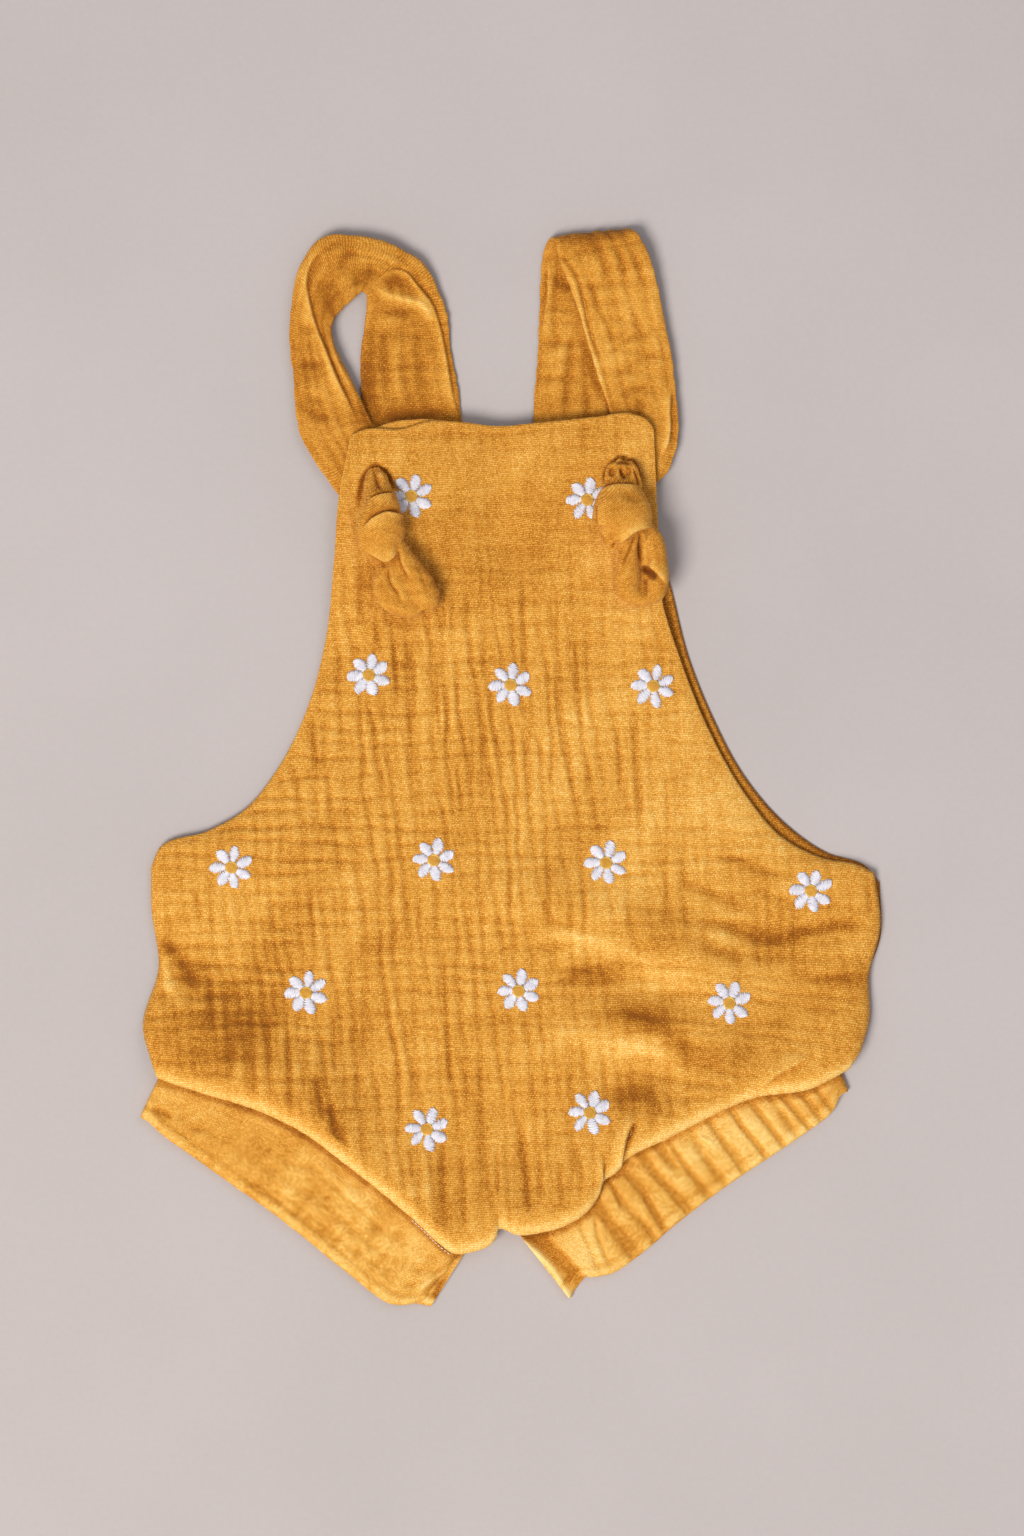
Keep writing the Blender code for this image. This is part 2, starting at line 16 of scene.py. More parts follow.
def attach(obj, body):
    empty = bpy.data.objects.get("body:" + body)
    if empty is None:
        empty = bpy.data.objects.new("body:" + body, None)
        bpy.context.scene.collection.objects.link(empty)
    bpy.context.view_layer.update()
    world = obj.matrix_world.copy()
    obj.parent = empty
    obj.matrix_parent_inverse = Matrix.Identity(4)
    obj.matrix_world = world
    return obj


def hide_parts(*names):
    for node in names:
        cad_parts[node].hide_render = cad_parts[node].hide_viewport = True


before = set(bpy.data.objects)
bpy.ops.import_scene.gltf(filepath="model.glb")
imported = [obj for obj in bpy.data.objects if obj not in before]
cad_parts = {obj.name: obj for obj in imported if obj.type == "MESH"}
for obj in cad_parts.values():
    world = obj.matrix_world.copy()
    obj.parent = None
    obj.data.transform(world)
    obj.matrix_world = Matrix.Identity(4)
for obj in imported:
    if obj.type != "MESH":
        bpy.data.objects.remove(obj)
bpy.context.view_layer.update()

MM = 0.001

# ------------------------------------------------------------------ the part's own values
PANEL = 1.2
STRAP = 2.4
BAND = 1.8
FACING = 1.0
SEAM = 0.3
BAND_BACK_Z = BAND / 2
BAND_FRONT_Z = 1.5 * BAND + SEAM
ROLL_Z = 2 * BAND + 2 * SEAM
STRAP_BACK_Z = STRAP / 2
STRAP_FRONT_Z = 1.5 * STRAP + SEAM
BIB_Z = 2 * STRAP + 3 * SEAM + FACING

FRONT_BOTTOM = (
    (-148.1, -130.6), (-127.5, -137.3), (-108.2, -143.2), (-87, -153.3), (-69.9, -165.9), (-41, -189.4),
    (-30, -199.6), (-24, -203.8), (-15, -203), (-8.4, -200.2), (-6, -197.4), (-4.6, -193.4),
    (-2.4, -193.8), (1, -195.6), (14, -194.9), (25, -191.4), (33, -185.6), (37.2, -179.6), (39.2, -174),
    (43.6, -170.6), (46.6, -167.6), (49.4, -164.2), (56, -160.2), (62, -157.5), (82.1, -147.4),
    (101.4, -139), (126, -134.8), (141.8, -126.8),
)
FRONT_TOP = (
    (-67, 138.8), (-62, 141.1), (-45, 141.6), (-35, 144.6), (-20, 144.4), (-6, 142.8), (10, 144),
    (35, 146.5), (51, 147.8), (57, 145.6), (60, 141.5),
)
FRONT_SIDE_LEFT = ((-150.8, -122.6), (-154.2, -110), (-147.6, -83), (-150.6, -60), (-150.8, -42))
FRONT_ARMHOLE_LEFT = (
    (-150.8, -42), (-147.5, -34.2), (-126.6, -26.5), (-111.9, -18.1), (-98.1, -1.3), (-85.5, 23.9),
    (-77.9, 51.2), (-73.9, 87), (-72, 112), (-67, 138.8),
)
FRONT_SIDE_RIGHT = ((146.9, -118.8), (150.6, -106.3), (150.4, -88), (155.2, -66.4), (152.7, -44.5))
FRONT_ARMHOLE_RIGHT = (
    (152.7, -44.5), (146.5, -41.3), (130.5, -38), (114.5, -29.8), (98.5, -11.3), (84.5, 13),
    (71.2, 45.4), (63.6, 70), (61.6, 105.4), (60, 141.5),
)
BACK_TOP = ((-63, 118), (52, 118))
BACK_SIDE_LEFT = ((-149.6, -122), (-153, -110), (-146.8, -83), (-149.4, -60), (-149.2, -46))
BACK_ARMHOLE_LEFT = (
    (-149.2, -46), (-143, -39), (-122, -31), (-106, -21), (-93, -4), (-81, 21), (-73.5, 50), (-69, 87),
    (-63, 118),
)
BACK_SIDE_RIGHT = ((146, -118.2), (149.8, -106.3), (149.9, -88), (155.2, -72), (155, -48.5))
BACK_ARMHOLE_RIGHT = (
    (155, -48.5), (149.7, -42), (132.1, -35.7), (116.1, -24.4), (98.5, -4.2), (85.5, 19.7),
    (75.4, 44.5), (65.7, 81.5), (52, 118),
)
FRONT_HEIGHTS = (
    # y, edge, crown
    (-205, 5.7, 5.2), (-122, 5.7, 5.2), (-104, 1.6, 5), (-45, 1.6, 4.4), (0, 1.8, 3.8), (45, 2.4, 3.8),
    (75, 4.4, 5.4), (104, 6.5, BIB_Z), (150, 6.7, BIB_Z),
)
EDGE_REACH = 18.0
PUFF = 4.2
PUFF_REACH = 24.0
ROLL = (
    # inset, height
    (9, ROLL_Z), (4, ROLL_Z), (1, ROLL_Z + 1), (0, ROLL_Z + 2.8), (1, ROLL_Z + 4.5), (4, ROLL_Z + 5.7),
)
ROLL_INSET = 8.0
ROLL_LEAST = 0.5
FLARE_REACH = 14.0
FRONT_FOLDS = (
    # x0, y0, x1, y1, bow, half width, height
    (-140, -98, -72, -152, 8, 17, 2.6),
    (-148, -66, -88, -118, -6, 14, -1.8),
    (-22, -52, 92, -90, 9, 13, 2.6),
    (22, -92, 84, -104, 6, 11, -2),
    (26, -112, 96, -118, 8, 11, 2.4),
    (30, -134, 74, -134, 4, 10, -2.2),
    (92, -72, 146, -64, -4, 10, -1.6),
    (-122, -40, -84, -22, -4, 12, 1.4),
    (-84, 8, -66, 62, -5, 12, -0.9),
    (-6, 150, -6, 84, 0, 11, -1.4),
    (6, -182, 2, -138, 4, 9, -1.6),
)
FOLD_OVERRUN = 0.15  # a large fold runs on by this share of its length, fading out
FOLD_FADE = 0.4
STRAP_LEFT = (
    # inner x, y, z, outer x, y, z, thickness
    (-60, 118.4, STRAP_BACK_Z, -20, 118.4, STRAP_BACK_Z, STRAP),
    (-62.2, 143, STRAP_BACK_Z, -20.2, 145, STRAP_BACK_Z, STRAP),
    (-62.8, 176, STRAP_BACK_Z + 0.4, -25, 176, STRAP_BACK_Z + 0.2, STRAP),
    (-60.4, 194, 2.6, -29, 197, 2.2, 3.4),
    (-60.6, 197.6, 3.4, -36.5, 211, 3.4, 4.2),
    (-62, 199, 4.4, -49, 218.8, 4.4, 5),
    (-64.6, 197.4, 5, -64, 222.6, 4.6, 5.2),
    (-69.2, 193.2, 5.2, -77.5, 222.4, 4.2, 5),
    (-73.4, 188.2, 4.8, -87, 212, 3.6, 5),
    (-74.8, 182, 4.2, -91.8, 194, 3.2, 5),
    (-72.8, 175, 3.8, -92.6, 180, 3, 4.8),
    (-68.4, 165.4, 3.8, -91, 162, 3, 4.4),
    (-62.8, 154.6, STRAP_FRONT_Z, -90, 149, 3.2, 3.4),
    (-57, 141.5, STRAP_FRONT_Z, -87.2, 137, STRAP_FRONT_Z, STRAP),
    (-52, 131, STRAP_FRONT_Z, -79.6, 124.6, STRAP_FRONT_Z, STRAP),
    (-50, 125, STRAP_FRONT_Z, -70, 111, STRAP_FRONT_Z, STRAP),
)
FOLD_LIFT = 6.6
STRAP_RIGHT = (
    # inner x, y, z, outer x, y, z, thickness
    (9, 118.4, STRAP_BACK_Z, 47, 118.4, STRAP_BACK_Z, STRAP),
    (9.2, 145, STRAP_BACK_Z, 47, 145, STRAP_BACK_Z, STRAP),
    (11.6, 175, STRAP_BACK_Z, 48, 175, STRAP_BACK_Z, STRAP),
    (12.7, 205, STRAP_BACK_Z, 48, 205, STRAP_BACK_Z, STRAP),
    (13.9, 216, 1.5, 49.4, 217, 1.5, STRAP),
    (16.6, 221.6, 3.2, 50.4, 225.2, 3.2, STRAP),
    (18.2, 220.8, 5.4, 52, 224.6, 5.4, STRAP),
    (20.4, 213.4, FOLD_LIFT, 56, 219, FOLD_LIFT, STRAP),
    (24.4, 203, 5.6, 60.4, 206, 5.6, STRAP),
    (29.4, 190, 4.6, 64, 190, 4.6, STRAP),
    (34.6, 173, 4.1, 67.4, 172.6, 4.1, STRAP),
    (38.4, 160, STRAP_FRONT_Z, 69.2, 158, STRAP_FRONT_Z, STRAP),
    (42, 147, STRAP_FRONT_Z, 70.4, 144.6, STRAP_FRONT_Z, STRAP),
    (43, 137, STRAP_FRONT_Z, 69.4, 133.6, STRAP_FRONT_Z, STRAP),
    (41, 130, STRAP_FRONT_Z, 64.4, 122, STRAP_FRONT_Z, STRAP),
    (40, 124, STRAP_FRONT_Z, 54, 114, STRAP_FRONT_Z, STRAP),
)
BAND_LEFT_FRONT = (
    # seam x, hem x, hem y
    (-15.5, -37.6, -224.6), (-24, -46.6, -226), (-32, -53.4, -223.4), (-45, -69.5, -211.3),
    (-70, -96, -190), (-95, -121, -172.2), (-120, -139, -159.4), (-136, -149.6, -151.6),
    (-143.4, -154, -147.6),
)
BAND_LEFT_BACK = (
    # seam x, hem x, hem y
    (-142.6, -153, -147), (-136, -149, -150.6), (-120, -138, -158.6), (-95, -120, -171.2),
    (-70, -95, -189.2), (-45, -68, -210.6), (-27, -50, -222.4), (-14, -33.4, -226.4),
)
BAND_RIGHT_FRONT = (
    # seam x, hem x, hem y
    (9.6, 33, -214), (18, 41.6, -212.8), (28, 51.6, -206.6), (44, 71.2, -190.3), (66, 93.9, -173.5),
    (88, 113, -160.8), (110, 129, -149.6), (126, 137.4, -142), (134.8, 140.2, -136.6),
)
BAND_RIGHT_BACK = (
    # seam x, hem x, hem y
    (134, 139.4, -136.2), (126, 136.6, -141.2), (110, 128, -148.8), (88, 112, -160), (66, 93, -172.8),
    (44, 70.2, -189.6), (27, 48, -208.6), (10, 33, -213), (-4, 24.6, -223),
)
BAND_SEAM_DROP = 0.8
BAND_FOLD_OUT = 1.4
BIB_FACING = (
    # top x, y
    (-61, 139.6), (-54, 143.2), (-38, 145.8), (-20, 144), (-6, 142.2), (10, 143.4), (35, 145.8),
    (52, 146.6),
)
FACING_DEPTH = 10.0

# ------------------------------------------------------------------ how finely it is made
WALL_STEP = 4  # a wall's hidden inner face has one row, and one column, for this many outside
COARSE = slice(None, None, WALL_STEP)
CURVE_FINENESS = 30
CREASE_FINENESS = 4
FRONT_COLUMNS = 296
ROLL_ROWS = 20
SIDE_ROWS = 80
ARMHOLE_ROWS = 208
BACK_COLUMNS = 120
BACK_SIDE_ROWS = 40
BACK_ARMHOLE_ROWS = 100
STRAP_SECTIONS = 400
STRAP_RING = 152
BAND_SECTIONS = 360
BAND_LAYER_ROWS = 14
BAND_RING = 128
FACING_SECTIONS = 160
FACING_RING = 32
TUBE_SECTIONS = 24
TUBE_SIDES = 24
THREAD_SIDES = 6

# flattened sections: half width, half thickness, squareness
STRAP_OUTSIDE = (17.5, 1.9, 3.4)
STRAP_INSIDE = (16.6, 1.0, 3.4)
BAND_SECTION = (22.0, BAND / 2, 6.0)
FACING_OUTSIDE = (5.0, 0.5, 5.0)
FACING_INSIDE = (4.8, 0.25, 5.0)

# thickness of the wall of each tube, which leaves its inner faces just clear of each other
STRAP_WALL = 0.9
BAND_WALL = 0.65
FACING_WALL = 0.25

# --------------------------------------------------------------------------- the crinkle
LEAN = 0.10  # how far the furrows shift to +X for each unit down the panel
BIAS_FROM = (80, -62)  # beyond this place, to +X and down, the cloth was pulled aslant
BIAS_SOFTNESS = 16.0
BIAS_SHARE = 0.34
BIAS_ROUND = 20.0
BIAS_ACROSS = 0.8  # how much of the pull shows across the cloth as well

UPRIGHT_FURROWS = (
    # share, spacing, half width, depth, seed
    (1, 6.2, 1.1, 0.9, 11),
    (0.5, 4.6, 0.9, 0.45, 12),
)
LEVEL_FURROWS = ((1, 6.8, 1.1, 0.75, 13),)
STRAP_FURROWS = (
    # share, spacing, half width, depth: along the strap, then across it
    (0.55, 6.5, 1.4, 0.6),
    (0.4, 8, 1.5, 0.6),
)
BAND_FURROWS = (
    # spacing, half width, depth: along the band, then across it
    (6.6, 1.9, 0.8),
    (6.6, 1.8, 0.8),
)

# each furrow wanders aside by shares of its spacing and fades by shares of its depth
WANDER = (
    # share, shortest wave, longest wave
    (0.2, 70, 150),
    (0.07, 18, 36),
)
FADE = (
    # share, shortest wave, longest wave
    (0.26, 60, 130),
    (0.2, 20, 45),
)
FURROW_STRENGTH = (0.5, 0.9)
FURROW_WIDTH = (0.8, 1.3)
FURROW_SPACING = (0.7, 1.35)
FURROW_STRONGEST = 1.1
# between furrows the cloth puffs up: share of the depth, then place and reach in half widths
PUFFED, PUFFED_AT, PUFFED_REACH = 0.32, 2.2, 1.3

# slow uneven swells: share, shortest wave, longest wave; the front's two start with a seed
FRONT_SWELLS = ((14, 0.14, 26, 70), (15, 0.08, 8, 20))
STRAP_SWELL = (0.16, 12, 34)
BAND_SWELL = (0.22, 9, 30)
FACING_SWELL = (0.12, 6, 18)
KNOT_SWELL = (0.1, 4, 11)
SWELL_WAVES = 10

# where the crinkle is stronger or weaker than elsewhere
UPRIGHT_SHARE = 0.38
UPRIGHT_ZONES = (
    # x, y, reach x, reach y, gain
    (-30, 10, 60, 62, 0.3), (-48, -105, 66, 60, 0.22), (95, 10, 45, 70, -0.25),
    (105, -100, 52, 44, -0.28), (0, 110, 90, 40, -0.34),
)
LEVEL_SHARE = 0.32
LEVEL_ZONES = (
    # x, y, reach x, reach y, gain
    (-112, -88, 50, 52, 0.24), (-84, 0, 40, 42, 0.34), (20, 0, 60, 50, 0.12), (60, -100, 60, 40, 0.2),
    (0, 122, 90, 34, -0.12),
)

# painted shade and painted light: where the cloth is darkened or paled to stand in for the light and
# shade over its folds
PAINTED_LIGHT_AND_SHADE_ZONES = (
    # x, y, reach x, reach y, gain
    (-14, 84, 56, 26, -0.28), (50, 82, 16, 24, 0.48), (-5, 136, 66, 8, -0.12),
    (-134, -58, 16, 18, 0.25), (40, 0, 45, 60, 0.2), (95, -20, 34, 40, 0.42),
    (-118, -110, 38, 27, -0.48), (-134, -86, 10, 8, -0.45), (-145, -76, 5, 3.5, -0.5),
    (57, -104.5, 17, 5.5, -0.65), (80, -121.5, 13, 5.5, -0.7), (50, -138, 10, 7, -0.4),
    (35, -88, 11, 5, -0.6), (45, -119, 17, 4.5, 0.5), (68, -89, 20, 6, 0.35), (112, -74, 14, 8, -0.4),
    (143, -88, 14, 5, -0.45), (98, -45, 16, 5, -0.25),
)
ROLL_TONE = 1.0  # the rolled lower edge catches the light
ROLL_LIGHT = (0.18, -0.33)  # reach and place of that light, as shares of the roll
BACK_SHADE = 0.8  # painted shade: the little of the back that shows is darkened, as in the front panel's shadow

CREASE_REACH = 3  # half widths beyond which a crease does nothing
CREASE_TAPER = 0.28  # share of a crease's length over which each end fades
LIP_ROUND = 0.5  # how far a lip's edge is rounded over
LIP_DROP = 1.2  # how far the hollow at its foot lies from it
LIP_HOLLOW = 0.45  # depth of that hollow and of the crack under the edge, as shares
LIP_CRACK = 0.4

# Creases placed one by one on the front: a depth over 0 is a groove, under 0 a ridge
FRONT_CREASING = 0.7  # share of the depths in this table that shows
FRONT_CREASES = (
    # half width, depth, points
    (1, 0.8, (-82.5, 24), (-82, 8), (-80, -6)),
    (1, 0.8, (-64.5, 64), (-63.5, 38), (-63, 10)),
    (0.9, 0.7, (-57, 62), (-55.5, 50)),
    (1, 1, (-49, 58), (-48, 36), (-47, 26)),
    (1.1, 1, (-44, 60), (-43, 30), (-41, 0), (-40.5, -14)),
    (1, 0.9, (-31.5, 60), (-30.5, 30), (-29, 2)),
    (0.9, 0.6, (-27.5, 34), (-26, 10)),
    (1, 0.9, (-23, 4), (-21, -12), (-20.5, -24)),
    (0.9, 0.7, (-16.5, 18), (-15, -8)),
    (0.9, 0.6, (-13.5, 26), (-12, 4), (-12, -18)),
    (1, 0.8, (-8.5, 4), (-7, -14), (-6, -30)),
    (0.9, 0.8, (5, 20), (6.5, 0), (8.5, -30)),
    (0.9, 0.6, (12, 14), (13.5, -2)),
    (1, 0.9, (19, 48), (20, 20), (24, 0), (27.5, -14)),
    (1, 0.8, (26, 62), (27.5, 44), (29, 28), (29.5, 8)),
    (1, 0.7, (32, 4), (35, -14), (38, -32)),
    (1, 0.6, (44, 30), (45.5, 4), (46, -20)),
    (1, 0.8, (50.5, 26), (52, 4), (54, -30)),
    (1, 0.7, (-63.5, 86), (-63, 60)),
    (1, 0.6, (-53, 76), (-51.5, 58)),
    (1.2, 0.5, (-28.5, 78), (-27.5, 56)),
    (1, 0.5, (-18.5, 76), (-17, 54)),
    (1, 0.4, (5, 78), (5.5, 54)),
    (1.2, 0.6, (16.5, 76), (17.5, 50)),
    (1, 0.4, (25.5, 92), (26, 62)),
    (0.9, 0.9, (-84.5, -50), (-83, -64), (-81, -78)),
    (0.9, 0.7, (-74, -48), (-72.5, -72)),
    (1, 0.6, (-131.5, -50), (-130, -66)),
    (1.6, 0.6, (-127, -84), (-126, -96), (-125, -116)),
    (1.8, 0.7, (-119, -84), (-117, -108), (-116, -134)),
    (1.6, 0.6, (-110, -96), (-108, -112), (-107, -138)),
    (1.4, 0.8, (-101.5, -100), (-100.5, -122), (-100, -142)),
    (1.4, 0.9, (-93.5, -104), (-92.5, -128), (-91.5, -148)),
    (1, 0.7, (-87, -110), (-86, -140)),
    (1.7, 1.6, (-82, -125), (-80, -137), (-77.4, -150)),
    (2, 1.9, (-76, -138), (-73.2, -149), (-69.8, -160)),
    (1, 0.8, (-74.5, -98), (-73.5, -130)),
    (1, 0.7, (-62.5, -90), (-61, -128)),
    (1.1, 0.5, (-47, -112), (-47, -134), (-48.5, -172)),
    (1, 0.4, (-41, -90), (-40, -118), (-41.5, -136)),
    (1.1, 1, (-28.5, -66), (-27, -100), (-25, -142)),
    (1, 0.8, (-19.5, -120), (-18, -146)),
    (1, 0.9, (-13.5, -118), (-12, -148), (-11, -168)),
    (1.2, 0.8, (-29.5, -156), (-28, -182), (-27, -198)),
    (1, 0.8, (-42, -156), (-41, -174)),
    (1.1, 0.8, (-20.5, -160), (-19.5, -178), (-19, -198)),
    (1.4, 1, (4.5, -146), (6, -168), (8.5, -190)),
    (3.6, 0.3, (3.5, -150), (5.5, -168), (7.5, -188)),
    (3.2, 0.3, (-29.5, -152), (-28.6, -176), (-27.5, -200)),
    (3, 0.4, (-12, -156), (-10.6, -172), (-7, -190)),
    (3, -0.4, (-36, -158), (-35, -176), (-33, -190)),
    (1, 0.9, (12, -160), (13, -184)),
    (1, 0.8, (-6, -158), (-5, -184)),
    (1, 0.9, (26.5, -156), (29, -166), (31, -176)),
    (0.9, 0.8, (38.5, -160), (39.5, -170)),
    (1, 0.7, (20, -164), (22, -186)),
    (2, 0.4, (-140, -104), (-118, -106), (-92, -108)),
    (1.8, 0.4, (-142, -118), (-120, -120), (-96, -121)),
    (2.6, 1.4, (-151, -71), (-141, -77), (-135, -86), (-128, -96)),
    (2.6, -1.3, (-149, -74), (-145.5, -84), (-142.5, -92), (-136, -101)),
    (3, 0.4, (-132, -94), (-122, -95), (-108, -94)),
    (3.2, 0.9, (18, -90), (28, -87), (50, -86)),
    (3.6, -0.8, (-4, -64), (20, -70), (45, -76), (72, -90)),
    (4, 1, (40, -100), (58, -105), (72, -116), (80, -126)),
    (3.4, -0.8, (10, -112), (40, -113), (60, -118), (78, -134)),
    (2.6, 0.9, (76, -72.5), (84, -75.5), (92.5, -79.5), (101, -84.5)),
    (2.4, 1.4, (76, -62.5), (88, -65.5), (99, -70), (113, -72), (124, -69), (136, -66.5), (160, -67)),
    (2.4, 0.9, (68, -47), (79, -50.5), (90, -55.5), (102, -58)),
    (2.4, 0.8, (82, -34.5), (94, -38.5), (104, -42.5), (116, -46)),
    (2.2, 0.6, (98, -50), (110, -54), (122, -60)),
    (2.2, 0.5, (76, -28), (90, -31), (106, -33)),
    (2.6, -0.5, (78, -68), (92, -72), (106, -78)),
    (2.6, -0.5, (72, -56), (88, -61), (100, -64)),
    (2.4, 0.6, (112, -84), (130, -88), (156, -92)),
    (1.2, 0.7, (102.5, -50), (103.6, -68), (104.4, -90)),
    (1.2, 0.7, (107.6, -48), (108.4, -68), (109, -92)),
    (1.2, 0.6, (112.6, -50), (113.2, -68), (114, -88)),
    (1.2, 0.6, (118, -54), (118.6, -72), (119.4, -92)),
    (1, 0.6, (64.2, 6), (65.8, -18), (65.2, -46), (64.4, -80)),
    (1, 0.6, (73.6, -8), (72.8, -46), (74.2, -82)),
    (1, 0.4, (82.6, -26), (82, -50), (83, -80)),
    (1.2, 0.4, (128, -72), (129, -88), (130, -104)),
    (4.2, 0.9, (42, -142), (50, -136), (62, -137)),
    (1.3, 1.4, (52.5, -147.5), (50.2, -153.5), (49.2, -160), (48.8, -165)),
    (1.3, 0.9, (61, -138), (63, -146)),
    (1, 0.6, (66, -136), (68, -146)),
    (1, 0.9, (149.5, -44), (150.5, -54), (151, -62)),
    (1, 0.5, (140, -58), (128, -59), (112, -56)),
    (1.3, 0.5, (70, -36), (92, -38), (104, -40)),
    (1.2, 2.4, (-63.2, 106), (-63.2, 112), (-62, 118.4), (-59.6, 123.8), (-56.6, 126.2), (-53.2, 124.6),
     (-50.4, 119.4), (-48, 111)),
    (0.9, 2.2, (39.6, 116), (39.6, 122), (42, 126.8), (46, 129.4), (50.6, 128), (53, 123.6),
     (55.2, 115)),
    (0.9, 0.5, (-64, 136.6), (-40, 139.4), (-10, 139), (30, 142), (54, 142.6)),
)
# Folded edges on the front: raised to the left of each line
FRONT_LIPS = (
    # half width, height, points
    (5, 2, (46.2, -169.6), (47.6, -160), (49, -155), (51, -150), (54, -145)),
    (3, 1, (38.6, -175), (38.8, -169), (39.4, -163)),
    (5, 1.3, (104, -136), (109.6, -130.6), (119.4, -124.6), (126, -121)),
)

# each row of a strap's tables starts with the first and last share of the strap's length
STRAP_LEFT_CREASES = (
    # first, last, half width, depth, points
    (0.3, 1, 3.4, 0.8, (-76, 207), (-76.5, 199), (-74, 191), (-70, 190)),
    (0.3, 0.85, 3, 0.9, (-68, 203), (-61, 206), (-55, 210)),
    (0.3, 1, 2, -0.7, (-80.5, 212), (-75.5, 215), (-69, 216)),
    (0.3, 1, 2.2, 0.7, (-66, 217), (-70, 212), (-71, 206)),
    (0.3, 1, 1.6, -0.5, (-79, 182), (-73, 170.5), (-67, 160), (-61, 147)),
    (0.3, 1, 2, 0.7, (-90, 170), (-82, 168), (-76, 167)),
    (0.3, 1, 1.8, 0.6, (-89, 184), (-84, 183), (-81, 182)),
    (0.3, 1, 2, 0.6, (-90, 153), (-82, 148), (-74, 145)),
    (0.3, 1, 2.2, -0.6, (-86, 160), (-80, 157), (-74, 154)),
    (0, 0.7, 3, 1.1, (-54, 202.5), (-47.5, 204), (-41, 199.5), (-36, 196)),
    (0, 0.7, 1.9, -1.2, (-60, 203), (-54.5, 199.6), (-47, 196.8), (-39, 194.8), (-34, 190), (-32, 184)),
    (0, 0.7, 2.4, 0.8, (-57, 194), (-49, 191.4), (-42, 189.6), (-37, 188.6)),
    (0, 0.4, 1.8, 0.6, (-52, 186), (-53, 168), (-51.5, 152)),
    (0, 0.4, 2.6, -0.5, (-48, 184), (-48, 166), (-46, 150)),
    (0, 0.4, 1.6, 0.5, (-40, 184), (-39, 168), (-37, 152)),
    (0, 0.4, 2, 0.6, (-61, 178), (-60.5, 160), (-60, 146)),
    (0, 0.4, 1.6, 0.5, (-58, 180), (-46, 181.5), (-32, 180)),
    (0, 0.4, 1.6, 0.4, (-58, 166), (-44, 168), (-30, 167)),
    (0, 0.4, 3, 0.8, (-58, 146), (-40, 149), (-24, 148)),
)
STRAP_LEFT_LIPS = (
    # first, last, half width, height, points
    (0.3, 1, 3.6, 1.05, (-61, 138), (-63.2, 142.5), (-66.9, 151.5), (-72, 161.6), (-76.5, 172.9),
     (-81, 184.1), (-83.8, 194.2), (-85.2, 203.2), (-83.8, 209.9), (-81, 214.4), (-76.5, 218.4),
     (-70.3, 221.7), (-64, 223)),
    (0, 0.72, 3.4, 0.95, (-20.6, 140), (-21.8, 146), (-24.8, 159.4), (-27, 172.9), (-30, 186.3),
     (-32.8, 194.2), (-39, 202), (-43.9, 207.5), (-48.4, 208.6), (-56.2, 203.8), (-62, 200)),
)
STRAP_RIGHT_CREASES = (
    # first, last, half width, depth, points
    (0.46, 1, 0.8, 0.8, (17, 217.2), (22.5, 212.8), (25.8, 208.8), (28.7, 203.2), (30, 197.6),
     (31.2, 193.1), (32.8, 184.1), (36, 175.1), (39.4, 166)),
    (0.46, 1, 1.5, -0.9, (15.5, 216), (19.5, 212.3), (23.5, 208), (26.5, 203), (28.6, 196), (30.2, 190),
     (32, 181.5), (35, 172), (38.5, 161), (42, 151)),
    (0.4, 1, 3, 0.7, (16, 221), (30, 222), (44, 224), (54, 223)),
    (0.46, 1, 2, 0.9, (55.5, 155), (53.6, 149.6), (52, 145)),
    (0.46, 1, 1.8, 0.6, (34, 219), (39, 211), (40, 203)),
    (0.46, 1, 1.7, 0.6, (43, 219), (47, 212), (48.5, 204)),
    (0.46, 1, 1.8, 0.5, (52, 216), (54, 208), (55, 200)),
    (0.46, 1, 1.6, 0.5, (33, 205), (35.5, 196), (37.5, 187)),
    (0.46, 1, 1.6, 0.4, (40, 198), (42, 186), (44, 174)),
    (0.46, 1, 1.7, 0.5, (51, 194), (53.5, 180), (54.5, 168)),
    (0.46, 1, 1.8, -0.5, (57, 204), (60.5, 188), (62.5, 170)),
    (0.46, 1, 1.5, 0.6, (40, 172), (46, 177), (54, 181), (62, 182)),
    (0.46, 1, 1.5, 0.5, (42, 163), (50, 168), (58, 172), (66, 173)),
    (0.46, 1, 1.6, 0.5, (45, 155), (52, 158.5), (60, 161)),
    (0.46, 1, 1.5, 0.4, (30, 199), (42, 203), (56, 204)),
    (0, 0.46, 2.6, 0.9, (17, 204), (22, 203), (27, 200)),
    (0, 0.46, 1.6, 0.8, (26, 184), (24.4, 168), (22.6, 146)),
    (0, 0.46, 2.2, -0.5, (20.5, 182), (19, 166), (17.5, 148)),
    (0, 0.46, 1.8, 0.6, (13, 191), (20, 192.6), (28, 191.5)),
    (0, 0.46, 1.8, 0.5, (12, 176), (20, 178), (29, 177)),
    (0, 0.46, 1.8, 0.5, (11, 162), (20, 163), (32, 162)),
    (0, 0.46, 1.5, 0.6, (31, 172), (31.4, 160), (32, 148)),
    (0, 0.46, 2.2, 0.9, (28.5, 188), (32, 174), (37, 160), (41, 150)),
)
STRAP_RIGHT_LIPS = (
    # first, last, half width, height, points
    (0.46, 1, 2.6, 0.9, (62, 129.5), (65.7, 134), (67.2, 142), (67, 151), (68.4, 161)),
    (0, 0.46, 2.4, 0.8, (15.2, 215), (15.6, 206), (15.2, 197), (13.8, 187), (12.6, 176)),
)
